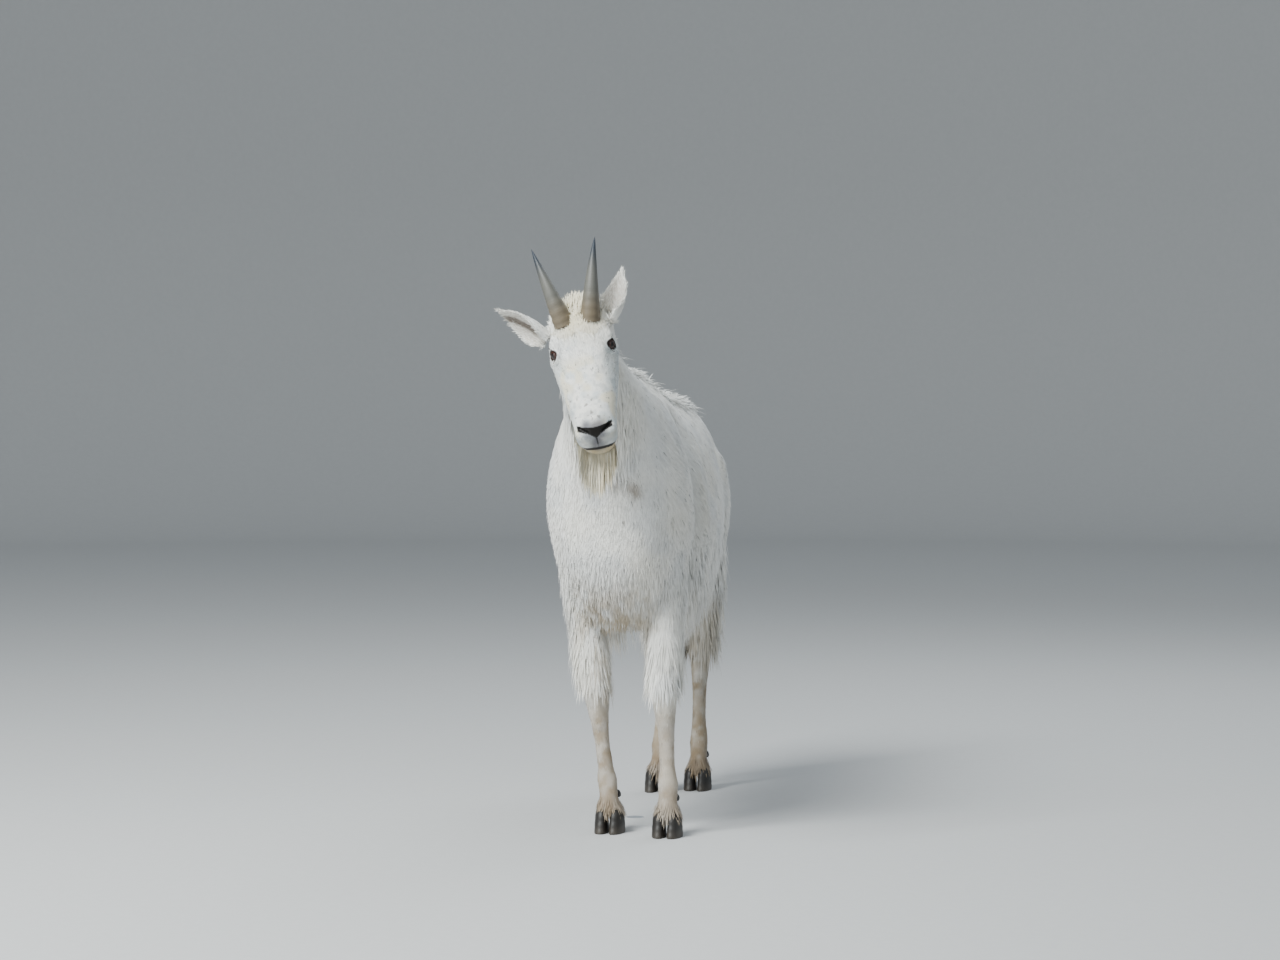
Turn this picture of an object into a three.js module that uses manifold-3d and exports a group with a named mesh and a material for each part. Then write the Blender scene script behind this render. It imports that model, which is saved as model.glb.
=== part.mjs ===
// A mountain goat, life size: one standing adult in its early summer coat, which looks ahead
// with its head turned a little to its left and tilted. Each named part of the body is a solid
// of its own, with a hair's breadth of clear space between neighbours.
// Millimetres. +Z is up, the animal faces -Y, and +X is its left side.
import * as THREE from "three";
import { mergeVertices } from "three/addons/utils/BufferGeometryUtils.js";
import Module from "manifold-3d";

const wasm = await Module();
wasm.setup();

const V = (x, y, z) => new THREE.Vector3(x, y, z);
const { degToRad, clamp } = THREE.MathUtils;
const UP = V(0, 0, 1);
const DOWN = V(0, 0, -1);
const BACK = V(0, 1, 0);
const FRONT = V(0, -1, 0);
const LEFT = 1;
const RIGHT = -1;

// Driving sizes
const GAP = 0.4; // clear space between two neighbours
const HEAD_AT = V(-13, -655, 1060); // the point midway between the eyes
const HEAD_PITCH = 61; // degrees that the face points down
const HEAD_ROLL = -11; // degrees that the crown leans to the animal's right
const HEAD_YAW = 8; // degrees that the face turns to the animal's left
const EYE_SPREAD = 53; // from the head's middle to an eyeball's centre
const EYE_RADIUS = 15;
const HORN_LENGTH = 168;
const HORN_SPREAD = 27; // from the head's middle to a horn's axis at its base
const HORN_RADIUS = 26;
const EAR_LENGTH = 108;
const EAR_WIDTH = 27; // half of the cup at its widest
const KNEE_HEIGHT = 332;
const HOCK_HEIGHT = 352;
const HOOF_HEIGHT = 52;
const HAIR_SEED = 7;

// Repeatable random numbers from 0 to 1
let randomState = HAIR_SEED;
function random() {
  randomState = (randomState * 1664525 + 1013904223) % 4294967296;
  return randomState / 4294967296;
}
const vary = (share) => 1 + share * (2 * random() - 1);

// A smooth value between the numbers of a list, at a place from 0 to its last index
function smooth(list, place) {
  const i = Math.min(Math.floor(place), list.length - 2);
  const f = place - i;
  const pick = (k) => list[clamp(k, 0, list.length - 1)];
  const [a, b, c, d] = [pick(i - 1), pick(i), pick(i + 1), pick(i + 2)];
  const cubic = 2 * a - 5 * b + 4 * c - d + f * (3 * (b - c) + d - a);
  return b + 0.5 * f * (c - a + f * cubic);
}

const SECTION_DEFAULTS = { square: 2.2, pinchTop: 0, pinchBottom: 0 };
const SIZES = ["wide", "top", "bottom", "square", "pinchTop", "pinchBottom"];

// A rounded body form carried through a row of cross-sections. A section has a centre, a side
// and an up direction, a half width, reaches to its top and its bottom, a squareness, where 2 is
// an ellipse, and pinches that narrow its top and its bottom. The first and last are points.
class Form {
  constructor(sections, { sides, steps, sculpt = (p) => p }) {
    Object.assign(this, { sides, steps, sculpt, last: sections.length - 1 });
    const full = sections.map((s) => ({ ...SECTION_DEFAULTS, ...s }));
    this.sizes = SIZES.map((key) => full.map((s) => s[key]));
    this.vectors = ["centre", "side", "up"].map((key) =>
      ["x", "y", "z"].map((axis) => full.map((s) => s[key][axis])),
    );
  }

  // The surface at a place along the form and an angle round it, from its left side over its top
  at(place, angle) {
    const [wide, top, bottom, square, pinchTop, pinchBottom] = this.sizes.map((l) => smooth(l, place));
    const [centre, side, up] = this.vectors.map((v) => V(...v.map((l) => smooth(l, place))));
    const power = 2 / square;
    const across = Math.sign(Math.cos(angle)) * Math.abs(Math.cos(angle)) ** power;
    const rise = Math.sign(Math.sin(angle)) * Math.abs(Math.sin(angle)) ** power;
    const pinch = 1 - (rise > 0 ? pinchTop : pinchBottom) * rise * rise;
    const p = centre
      .addScaledVector(side, Math.max(wide, 0) * across * pinch)
      .addScaledVector(up, Math.max(rise > 0 ? top : bottom, 0) * rise);
    return this.sculpt(p);
  }

  // The direction that the surface faces there
  facing(place, angle) {
    const d = 0.02;
    const along = this.at(place + d, angle).sub(this.at(place - d, angle));
    const round = this.at(place, angle + d).sub(this.at(place, angle - d));
    const n = along.cross(round).normalize();
    const centre = V(...this.vectors[0].map((l) => smooth(l, place)));
    const outward = this.at(place, angle).sub(centre);
    return n.dot(outward) < 0 ? n.negate() : n;
  }

  solid() {
    const rings = this.last * this.steps - 1;
    const points = [this.at(0, 0)];
    for (let r = 1; r <= rings; r++)
      for (let k = 0; k < this.sides; k++)
        points.push(this.at(r / this.steps, (2 * Math.PI * k) / this.sides));
    points.push(this.at(this.last - 1e-6, 0));
    return closedRings(points, rings, this.sides);
  }
}

// A closed solid from a first point, rings of points and a last point
function closedRings(points, rings, sides) {
  const end = points.length - 1;
  const id = (r, k) => 1 + r * sides + (k % sides);
  const faces = [];
  for (let k = 0; k < sides; k++) {
    faces.push([0, id(0, k + 1), id(0, k)]);
    for (let r = 0; r < rings - 1; r++) {
      faces.push([id(r, k), id(r, k + 1), id(r + 1, k + 1)]);
      faces.push([id(r, k), id(r + 1, k + 1), id(r + 1, k)]);
    }
    faces.push([end, id(rings - 1, k), id(rings - 1, k + 1)]);
  }
  return solidOf(points, faces);
}

// A solid from points and triangles, turned so that its faces point out
function solidOf(points, faces) {
  const build = (list) =>
    new wasm.Manifold(
      new wasm.Mesh({
        numProp: 3,
        vertProperties: new Float32Array(points.flatMap((p) => p.toArray())),
        triVerts: new Uint32Array(list.flat()),
      }),
    );
  const made = build(faces);
  return made.volume() > 0 ? made : build(faces.map(([a, b, c]) => [a, c, b]));
}

// A three.js geometry of a solid, with the vertices merged
function geometryOf(solid) {
  const mesh = solid.getMesh();
  const geometry = new THREE.BufferGeometry()
    .setAttribute("position", new THREE.BufferAttribute(new Float32Array(mesh.vertProperties), 3))
    .setIndex(new THREE.BufferAttribute(new Uint32Array(mesh.triVerts), 1));
  return mergeVertices(geometry, 1e-3);
}

// The solid with its surface moved out by a distance, to cut a neighbour clear of it
function grown(solid, distance = GAP) {
  const geometry = geometryOf(solid);
  geometry.computeVertexNormals();
  const { position, normal } = geometry.attributes;
  const points = [];
  for (let i = 0; i < position.count; i++)
    points.push(
      V().fromBufferAttribute(position, i).addScaledVector(V().fromBufferAttribute(normal, i), distance),
    );
  const index = geometry.index.array;
  const faces = [];
  for (let i = 0; i < index.length; i += 3) faces.push([index[i], index[i + 1], index[i + 2]]);
  return solidOf(points, faces);
}

// The largest closed piece of a solid
function largest(solid) {
  const pieces = solid.decompose();
  return pieces.reduce((a, b) => (b.volume() > a.volume() ? b : a));
}

const cutClear = (solid, ...others) => others.reduce((s, o) => s.subtract(grown(o)), solid);
const joined = (solids) => wasm.Manifold.union(solids);

// The two sides of a solid at a plane through a point, with the gap between them
function parted(solid, point, normal) {
  const n = normal.clone().normalize();
  const offset = n.dot(point);
  return [
    solid.trimByPlane(n.toArray(), offset + GAP / 2),
    solid.trimByPlane(n.clone().negate().toArray(), -offset + GAP / 2),
  ];
}

// Trunk: from the rump, over the back and the hump, down the neck to the nape. Each row is a
// point of the back line and of the belly line, as Y and Z, the half width between them, where
// the body is widest, as a share of the height, and how far it is to the left of the middle.
const TRUNK_ROWS = [
  [[520, 806], [520, 770], 0, 0.5, 0],
  [[512, 858], [516, 690], 52, 0.5, 0],
  [[482, 898], [496, 620], 84, 0.46, 0],
  [[425, 924], [445, 580], 103, 0.43, 0],
  [[330, 936], [345, 530], 122, 0.4, 0],
  [[215, 942], [220, 488], 143, 0.4, 0],
  [[100, 949], [85, 460], 158, 0.41, 0],
  [[0, 960], [-50, 450], 166, 0.42, 0],
  [[-95, 980], [-170, 448], 168, 0.43, 0],
  [[-170, 996], [-290, 455], 166, 0.44, 0],
  [[-228, 1003], [-390, 486], 163, 0.44, 0],
  [[-285, 1008], [-445, 580], 157, 0.44, 0],
  [[-345, 1020], [-466, 690], 133, 0.42, -1],
  [[-415, 1044], [-494, 785], 100, 0.42, -4],
  [[-480, 1072], [-522, 862], 86, 0.45, -10],
  [[-535, 1094], [-548, 915], 76, 0.48, -17],
  [[-582, 1102], [-566, 962], 64, 0.5, -23],
  [[-604, 1050], [-606, 1035], 0, 0.5, -24],
];
// The neck meets the torso at the plane from the withers to the top of the chest
const NECK_TOP = V(0, -300, 1011);
const NECK_LOW = V(0, -494, 785);

const trunk = new Form(
  TRUNK_ROWS.map(([[topY, topZ], [lowY, lowZ], wide, waist, x]) => {
    const low = V(x, lowY, lowZ);
    const rise = V(x, topY, topZ).sub(low);
    const height = rise.length();
    return {
      centre: low.addScaledVector(rise, waist),
      side: V(1, 0, 0),
      up: rise.normalize(),
      wide,
      top: height * (1 - waist),
      bottom: height * waist,
      square: 2.15,
      pinchTop: 0.22,
      pinchBottom: 0.1,
    };
  }),
  { sides: 24, steps: 2 },
);

// Head: in its own frame, where it faces -Y with its crown up and its eyes level with 0. Each
// row is a point of the face line and of the jaw line, the half width and the widest level.
const HEAD_ROWS = [
  [[106, -18], [106, -26], 0, 0.5],
  [[100, 12], [96, -58], 39, 0.5],
  [[88, 28], [78, -87], 57, 0.52],
  [[65, 38], [51, -107], 66, 0.56],
  [[35, 41], [20, -114], 69, 0.6],
  [[0, 38], [-12, -110], 69, 0.62],
  [[-35, 33], [-45, -100], 67, 0.58],
  [[-75, 28], [-80, -90], 61, 0.54],
  [[-115, 23], [-115, -80], 54, 0.52],
  [[-150, 18], [-150, -73], 48, 0.52],
  [[-182, 11], [-182, -68], 44, 0.54],
  [[-203, 0], [-200, -61], 39, 0.54],
  [[-213, -14], [-210, -51], 27, 0.54],
  [[-216, -28], [-214, -36], 0, 0.5],
];
const MOUTH_FRONT = V(0, -214, -40);
const MOUTH_BACK = V(0, 30, -84);

const inHead = new THREE.Matrix4()
  .makeRotationFromEuler(
    new THREE.Euler(degToRad(HEAD_PITCH), degToRad(HEAD_ROLL), degToRad(HEAD_YAW), "ZYX"),
  )
  .setPosition(HEAD_AT);
const placed = (solid, matrix = inHead) => solid.transform(matrix.elements);

// Soft lumps and hollows: each has a middle, a reach and a push, and shows on both sides
const HEAD_LUMPS = [
  { at: V(64, 6, 14), reach: 20, push: V(5, 0, 5) }, // brow over the eye
  { at: V(62, -6, -22), reach: 22, push: V(4, 0, 0) }, // cheekbone
  { at: V(56, 30, -74), reach: 36, push: V(5, 0, -2) }, // muscle of the jaw
  { at: V(58, -40, 6), reach: 22, push: V(-5, 0, -2) }, // hollow before the eye
  { at: V(34, -194, -8), reach: 15, push: V(5, -2, 2) }, // wing of the nostril
  { at: V(30, -194, -38), reach: 15, push: V(4, -3, 0) }, // upper lip
  { at: V(0, -190, -64), reach: 18, push: V(0, -4, -6) }, // chin
];

function sculptHead(p) {
  for (const { at, reach, push } of HEAD_LUMPS)
    for (const side of [LEFT, RIGHT]) {
      const middle = V(at.x * side, at.y, at.z);
      const share = Math.exp(-p.distanceToSquared(middle) / reach ** 2) * (at.x ? 1 : 0.5);
      p.add(V(push.x * side, push.y, push.z).multiplyScalar(share));
    }
  return p;
}

const headForm = new Form(
  HEAD_ROWS.map(([[faceY, faceZ], [jawY, jawZ], wide, level]) => {
    const low = V(0, jawY, jawZ);
    const rise = V(0, faceY, faceZ).sub(low);
    const height = rise.length();
    return {
      centre: low.addScaledVector(rise, level),
      side: V(1, 0, 0),
      up: rise.normalize(),
      wide,
      top: height * (1 - level),
      bottom: height * level,
      square: 2.5,
      pinchTop: 0.12,
      pinchBottom: 0.3,
    };
  }),
  { sides: 28, steps: 2, sculpt: sculptHead },
);

// Eye: a ball, and the lids as a thin cap over it with an almond opening
const EYE_FACING = V(0.74, -0.44, 0.51).normalize();
function eyeFrame(side) {
  const facing = V(EYE_FACING.x * side, EYE_FACING.y, EYE_FACING.z);
  const along = V(0, -1, -0.15).normalize();
  const up = facing.clone().cross(along).multiplyScalar(side).normalize();
  const level = up.clone().cross(facing).multiplyScalar(side).normalize();
  return { middle: V(EYE_SPREAD * side, 0, 0), facing, up, level };
}

function ball(middle, radius, sides, rings) {
  const points = [middle.clone().addScaledVector(UP, radius)];
  for (let r = 1; r <= rings; r++)
    for (let k = 0; k < sides; k++) {
      const polar = (Math.PI * r) / (rings + 1);
      const turn = (2 * Math.PI * k) / sides;
      points.push(
        V(Math.sin(polar) * Math.cos(turn), Math.sin(polar) * Math.sin(turn), Math.cos(polar))
          .multiplyScalar(radius)
          .add(middle),
      );
    }
  points.push(middle.clone().addScaledVector(UP, -radius));
  return closedRings(points, rings, sides);
}

// A straight prism over an outline in the plane of two directions, from one depth to another
function prism(origin, right, up, outline, from, to) {
  const out = right.clone().cross(up).normalize();
  const ring = (depth) =>
    outline.map(([x, y]) =>
      origin.clone().addScaledVector(right, x).addScaledVector(up, y).addScaledVector(out, depth),
    );
  const points = [
    origin.clone().addScaledVector(out, from),
    ...ring(from),
    ...ring(to),
    origin.clone().addScaledVector(out, to),
  ];
  return closedRings(points, 2, outline.length);
}

const LID_THICK = 2.6;
const EYE_OPEN_LONG = 14; // half of the opening along the head
const EYE_OPEN_HIGH = 10.5;
function lidCap(side) {
  const { middle, facing } = eyeFrame(side);
  return ball(middle, EYE_RADIUS + LID_THICK, 18, 9).trimByPlane(facing.toArray(), facing.dot(middle) - 4);
}

function lidOpening(side) {
  const { middle, up, level } = eyeFrame(side);
  const almond = [];
  for (let k = 0; k < 14; k++) {
    const a = (2 * Math.PI * k) / 14;
    almond.push([EYE_OPEN_LONG * Math.cos(a), EYE_OPEN_HIGH * Math.sin(a) * Math.abs(Math.sin(a)) ** 0.35]);
  }
  return prism(middle, level, up, almond, 0, side * 60);
}

// Nostril: a comma-shaped slit from the wing of the nose down to the middle
const NOSTRIL = [
  { at: V(37, -193, 2), wide: 3 },
  { at: V(31, -200, -4), wide: 4.4 },
  { at: V(23, -206, -10), wide: 4 },
  { at: V(13, -211, -16), wide: 3 },
];
function nostril(side) {
  const mirror = (v) => V(v.x * side, v.y, v.z);
  const first = NOSTRIL[0];
  const finish = NOSTRIL[NOSTRIL.length - 1];
  const run = mirror(finish.at).sub(mirror(first.at)).normalize();
  const inward = V(-0.35 * side, 0.8, -0.25).normalize();
  const across = run.clone().cross(inward).normalize();
  const deep = across.clone().cross(run).normalize();
  const end = (s, sign) => mirror(s.at).addScaledVector(run, sign * s.wide);
  const ring = (s) => {
    const points = [];
    for (let k = 0; k < 8; k++) {
      const a = (2 * Math.PI * k) / 8;
      points.push(
        mirror(s.at)
          .addScaledVector(across, s.wide * Math.cos(a))
          .addScaledVector(deep, 9 * Math.sin(a)),
      );
    }
    return points;
  };
  return closedRings([end(first, -1), ...NOSTRIL.flatMap(ring), end(finish, 1)], NOSTRIL.length, 8);
}

// Line of the mouth: a narrow groove along the lips from one corner to the other
const LIP_CORNER = 8.7; // the place of the mouth's corner along the head
const LIP_STEPS = 10;
const LIP_DEEP = 4;
const LIP_OPEN = 1.6;
function lipLine(normal) {
  const above = (place, angle) => normal.dot(headForm.at(place, angle).sub(MOUTH_FRONT));
  const crossing = (low, high, value) => {
    for (let i = 0; i < 30; i++) {
      const middle = (low + high) / 2;
      if (value(middle) > 0) high = middle;
      else low = middle;
    }
    return (low + high) / 2;
  };
  const front = crossing(LIP_CORNER, headForm.last, (place) => above(place, -Math.PI / 2));
  const half = [];
  for (let s = 0; s <= LIP_STEPS; s++) {
    const share = s / LIP_STEPS;
    const place = LIP_CORNER + (front - LIP_CORNER) * share;
    const angle = s === LIP_STEPS ? -Math.PI / 2 : crossing(-Math.PI / 2, 0, (a) => above(place, a));
    half.push({ at: headForm.at(place, angle), out: headForm.facing(place, angle), share });
  }
  const mirrored = half.slice(0, -1).map(({ at, out, share }) => ({
    at: V(-at.x, at.y, at.z),
    out: V(-out.x, out.y, out.z),
    share,
  }));
  const line = [...half, ...mirrored.reverse()];
  const rings = line.slice(1, -1).flatMap(({ at, out, share }) => {
    const open = LIP_OPEN * Math.min(1, 0.4 + share);
    return [
      at.clone().addScaledVector(out, LIP_DEEP),
      at.clone().addScaledVector(normal, open),
      at.clone().addScaledVector(out, -LIP_DEEP),
      at.clone().addScaledVector(normal, -open),
    ];
  });
  return closedRings([line[0].at, ...rings, line[line.length - 1].at], line.length - 2, 4);
}

// Horn: a slim cone with rings near its base, which sweeps back and a little outward
const HORN_BASE = V(HORN_SPREAD, 50, 26);
const HORN_START = 42; // degrees above the line to the back of the head
const HORN_BEND = 46; // degrees that it turns back by its tip
const HORN_SPLAY = 13;
const HORN_ROOT = 14; // length that is sunk in the head
const HORN_RING = 0.7; // height of the rings near the base
const HORN_TAPER = 0.86;
const HORN_OVAL = 0.86; // width over depth
const HORN_STEPS = 12;
const HORN_SIDES = 12;
function horn(side) {
  const splay = degToRad(HORN_SPLAY);
  const points = [];
  const at = V(HORN_BASE.x * side, HORN_BASE.y, HORN_BASE.z);
  for (let s = 0; s <= HORN_STEPS; s++) {
    const share = s / HORN_STEPS;
    const slope = degToRad(HORN_START - HORN_BEND * share);
    const level = Math.cos(splay);
    const heading = V(Math.sin(splay) * side, Math.cos(slope) * level, Math.sin(slope) * level);
    const across = V(1, 0, 0).addScaledVector(heading, -heading.x).normalize();
    const deep = heading.clone().cross(across);
    const ringing = share < 0.5 ? HORN_RING * Math.cos(Math.PI * s) : 0;
    const radius = HORN_RADIUS * (1 - share) ** HORN_TAPER + ringing;
    if (s === 0) points.push(at.clone().addScaledVector(heading, -HORN_RING));
    if (s === HORN_STEPS) points.push(at.clone());
    else
      for (let k = 0; k < HORN_SIDES; k++) {
        const a = (2 * Math.PI * k) / HORN_SIDES;
        points.push(
          at
            .clone()
            .addScaledVector(across, HORN_OVAL * radius * Math.cos(a))
            .addScaledVector(deep, radius * Math.sin(a)),
        );
      }
    at.addScaledVector(heading, (HORN_LENGTH + HORN_ROOT) / HORN_STEPS);
  }
  return closedRings(points, HORN_STEPS, HORN_SIDES);
}

// Ear: a long leaf rolled into a cup. Along it go the half width and how far the cup is rolled
const EAR_ROOT = V(63, 47, -4);
const EAR_WIDTHS = [0.7, 0.86, 0.97, 1, 0.95, 0.84, 0.66, 0.44, 0.2];
const EAR_ROLLS = [150, 135, 118, 100, 86, 72, 60, 52, 46]; // degrees to each side of the spine
const EAR_THICK = 5;
const EAR_ARC = 6;
const EARS = [
  { side: LEFT, reach: V(0.37, 0.9, 0.2), opening: V(-0.34, -0.4, 0.85) },
  { side: RIGHT, reach: V(-0.79, 0.47, 0.41), opening: V(0, -0.98, 0.2) },
];
function ear({ side, reach, opening }) {
  const axis = reach.clone().normalize();
  const cup = opening.clone().addScaledVector(axis, -opening.dot(axis)).normalize();
  const across = axis.clone().cross(cup);
  const root = V(EAR_ROOT.x * side, EAR_ROOT.y, EAR_ROOT.z);
  const points = [];
  const steps = EAR_WIDTHS.length;
  const length = EAR_LENGTH + 18;
  const spine = (share) =>
    root
      .clone()
      .addScaledVector(axis, length * share)
      .addScaledVector(cup, -10 * Math.sin(Math.PI * share));
  points.push(spine(0));
  for (let s = 0; s < steps; s++) {
    const share = (s + 0.6) / (steps + 0.35);
    const half = EAR_WIDTH * EAR_WIDTHS[s];
    const roll = degToRad(EAR_ROLLS[s]);
    const bend = half / Math.sin(Math.min(roll, Math.PI / 2));
    const thick = Math.min(EAR_THICK, half * 0.6);
    const rim = (radius, k) => {
      const a = roll * ((2 * k) / EAR_ARC - 1);
      return spine(share)
        .addScaledVector(across, radius * Math.sin(a))
        .addScaledVector(cup, bend * 0.9 - radius * Math.cos(a));
    };
    for (let k = 0; k <= EAR_ARC; k++) points.push(rim(bend, k));
    for (let k = EAR_ARC - 1; k >= 1; k--) points.push(rim(bend - thick, k));
  }
  points.push(spine(1));
  return closedRings(points, steps, 2 * EAR_ARC);
}

// Legs: each row is the middle of a level section as X, Y and Z, its half width, and its
// reaches to the front and to the back
const FORE_ROWS = [
  [92, -275, 690, 0, 0, 0],
  [94, -280, 670, 42, 60, 60],
  [96, -288, 620, 54, 78, 80],
  [98, -298, 560, 54, 70, 76],
  [99, -308, 500, 50, 56, 62],
  [98, -318, 430, 44, 46, 50],
  [98, -328, 370, 38, 40, 42],
  [99, -333, KNEE_HEIGHT, 36, 38, 36],
  [101, -335, 290, 29, 31, 31],
  [105, -337, 220, 20, 22, 24],
  [108, -339, 150, 19, 21, 24],
  [110, -341, 112, 24, 25, 31],
  [111, -351, 76, 22, 25, 26],
  [112, -359, HOOF_HEIGHT, 30, 33, 31],
  [112, -360, 30, 26, 30, 28],
  [112, -360, 24, 0, 0, 0],
];
const HIND_ROWS = [
  [70, 372, 830, 0, 0, 0],
  [70, 374, 810, 38, 70, 66],
  [72, 372, 740, 54, 108, 104],
  [72, 362, 660, 58, 120, 112],
  [68, 358, 580, 52, 102, 96],
  [60, 378, 500, 44, 70, 72],
  [52, 410, 430, 36, 48, 50],
  [46, 436, 380, 31, 38, 42],
  [43, 448, HOCK_HEIGHT, 29, 35, 40],
  [42, 446, 310, 25, 30, 33],
  [43, 434, 240, 20, 23, 25],
  [44, 422, 165, 19, 22, 24],
  [45, 414, 112, 24, 25, 31],
  [46, 402, 76, 22, 24, 25],
  [46, 393, HOOF_HEIGHT, 30, 32, 30],
  [46, 392, 30, 26, 29, 27],
  [46, 392, 24, 0, 0, 0],
];
// The right legs' feet are set nearer the middle and nearer the other pair
const STEP_HEIGHT = 620; // the leg slants below this height
const FORE_STEP = { inward: 98, back: 42 };
const HIND_STEP = { inward: 6, back: -48 };
const stepped = (rows, { inward, back }) =>
  rows.map(([x, y, z, ...sizes]) => {
    const down = Math.max(1 - z / STEP_HEIGHT, 0) ** 1.15;
    return [x - inward * down, y + back * down, z, ...sizes];
  });
const legForm = (rows, side) =>
  new Form(
    rows.map(([x, y, z, wide, top, bottom]) => ({
      centre: V(x * side, y, z),
      side: V(1, 0, 0),
      up: FRONT,
      wide,
      top,
      bottom,
      square: 2.1,
    })),
    { sides: 14, steps: 1 },
  );

// Hooves: two toes to a foot, each a wedge with a flat sole on the floor
const TOE_HALF_GAP = 17;
const TOE_INNER = 0.86; // width of the inner half over that of the outer half
const TOE_TURN = 3; // how far a toe's tip turns to the middle
const TOE_ROWS = [
  [0, 16, 42, 34],
  [5, 16.4, 42, 35],
  [26, 15.6, 33, 31],
  [HOOF_HEIGHT, 14.5, 25, 27],
];
const TOE_SIDES = 10;
function toe(foot, side) {
  const points = [];
  for (const [z, wide, front, back] of TOE_ROWS)
    for (let k = 0; k < TOE_SIDES; k++) {
      const a = (2 * Math.PI * k) / TOE_SIDES;
      const [cos, sin] = [Math.cos(a), Math.sin(a)];
      const half = cos * side < 0 ? TOE_INNER * wide : wide;
      const across = half * Math.sign(cos) * Math.abs(cos) ** 0.8;
      const turned = side * TOE_TURN * Math.max(sin, 0);
      const reach = sin > 0 ? front : back;
      const x = foot.x + side * TOE_HALF_GAP + across - turned;
      points.push(V(x, foot.y - reach * sin - TOE_TURN, z));
    }
  const middle = (z) => V(foot.x + side * TOE_HALF_GAP, foot.y, z);
  return closedRings([middle(0), ...points, middle(HOOF_HEIGHT)], TOE_ROWS.length, TOE_SIDES);
}

const TAIL_ROWS = [
  [[484, 886], 0, 0],
  [[504, 878], 24, 18],
  [[532, 852], 29, 20],
  [[548, 806], 29, 18],
  [[548, 754], 22, 14],
  [[540, 706], 0, 0],
];
const tailForm = new Form(
  TAIL_ROWS.map(([[y, z], wide, thick]) => ({
    centre: V(0, y, z),
    side: V(1, 0, 0),
    up: V(0, 0.9, 0.44).normalize(),
    wide,
    top: thick,
    bottom: thick,
  })),
  { sides: 12, steps: 2 },
);

// A dewclaw: a small blunt cone at the back of the pastern
const DEWCLAW = { high: 78, back: 22, spread: 13, wide: 9, long: 26 };
const DEWCLAW_SIDES = 6;
function dewclaw(pastern, side) {
  const root = V(pastern.x + side * DEWCLAW.spread, pastern.y + DEWCLAW.back - 8, DEWCLAW.high + 10);
  const heading = V(side * 0.2, 0.75, -0.65).normalize();
  const across = V(1, 0, 0).addScaledVector(heading, -heading.x).normalize();
  const deep = heading.clone().cross(across);
  const points = [root.clone()];
  for (const [share, size] of [[0.3, 1], [0.85, 0.7]])
    for (let k = 0; k < DEWCLAW_SIDES; k++) {
      const a = (2 * Math.PI * k) / DEWCLAW_SIDES;
      points.push(
        root
          .clone()
          .addScaledVector(heading, DEWCLAW.long * share)
          .addScaledVector(across, DEWCLAW.wide * size * Math.cos(a))
          .addScaledVector(deep, DEWCLAW.wide * size * Math.sin(a)),
      );
    }
  points.push(root.clone().addScaledVector(heading, DEWCLAW.long));
  return closedRings(points, 2, DEWCLAW_SIDES);
}

// A lock of hair: a flat, tapered blade with a ridge along its outer face. It is rooted under
// the surface, leaves it at the lift's angle, and bends down by the droop towards its tip.
const LOCK_ROOT_DEPTH = 7;
const LOCK_HEEL = 0.06; // length of the root's point over that of the lock
const LOCK_SWAY = 0.2; // change of its direction
const LOCK_STRAY = 0.25; // change of its place, over the room between two locks
const LOCK_SIZES = { long: 0.2, wide: 0.15, thick: 0, lift: 0.25, droop: 0.3 }; // how far each varies
const LOCK_RINGS = [
  { share: 0, wide: 0.75, thick: 1 },
  { share: 0.38, wide: 1, thick: 0.9 },
  { share: 0.75, wide: 0.66, thick: 0.5 },
];
function lock(root, facing, lie, { long, wide, thick, lift, droop }) {
  const flat = lie.clone().addScaledVector(facing, -Math.min(lie.dot(facing), 0)).normalize();
  const along = flat.multiplyScalar(Math.cos(lift)).addScaledVector(facing, Math.sin(lift)).normalize();
  const across = facing.clone().cross(along);
  if (across.length() < 0.35) across.copy(BACK).addScaledVector(along, -BACK.dot(along));
  across.normalize();
  const out = along.clone().cross(across);
  if (out.dot(facing) < 0) out.negate();
  const start = root.clone().addScaledVector(facing, -LOCK_ROOT_DEPTH);
  const at = (share) =>
    start.clone().addScaledVector(along, long * share).addScaledVector(DOWN, droop * share * share);
  const rings = LOCK_RINGS.flatMap((ring) => [
    at(ring.share).addScaledVector(across, (ring.wide * wide) / 2),
    at(ring.share).addScaledVector(out, ring.thick * thick),
    at(ring.share).addScaledVector(across, (-ring.wide * wide) / 2),
  ]);
  const heel = start.clone().addScaledVector(along, -LOCK_HEEL * long);
  return closedRings([heel, ...rings, at(1)], LOCK_RINGS.length, 3);
}

// Locks over a stretch of a form, in rows that are set off by half a lock. Places and angles are
// the stretch's first and last, an angle is counted from the form's outer side, and the lie is
// the direction that the hair takes.
function coat(form, side, { places, angles, rows, columns, lie, ...size }, matrix) {
  const locks = [];
  for (let r = 0; r < rows; r++)
    for (let c = 0; c < columns; c++) {
      const down = rows > 1 ? (r + LOCK_STRAY * (vary(1) - 1)) / (rows - 1) : 0.5;
      const shift = columns > 1 ? (r % 2) * 0.5 - 0.25 + LOCK_STRAY * (vary(1) - 1) : 0;
      const round = columns > 1 ? (c + shift) / (columns - 1) : 0.5;
      const place = places[0] + (places[1] - places[0]) * clamp(down, 0, 1);
      const outer = angles[0] + (angles[1] - angles[0]) * clamp(round, -0.1, 1.1);
      const angle = side === LEFT ? outer : Math.PI - outer;
      const root = form.at(place, angle);
      const facing = form.facing(place, angle);
      if (matrix) {
        root.applyMatrix4(matrix);
        facing.transformDirection(matrix);
      }
      const sway = V(LOCK_SWAY * (vary(1) - 1), LOCK_SWAY * (vary(1) - 1), 0);
      const own = Object.entries(LOCK_SIZES).map(([key, share]) => [key, size[key] * vary(share)]);
      locks.push(lock(root, facing, lie.clone().add(sway).normalize(), Object.fromEntries(own)));
    }
  return locks;
}

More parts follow.
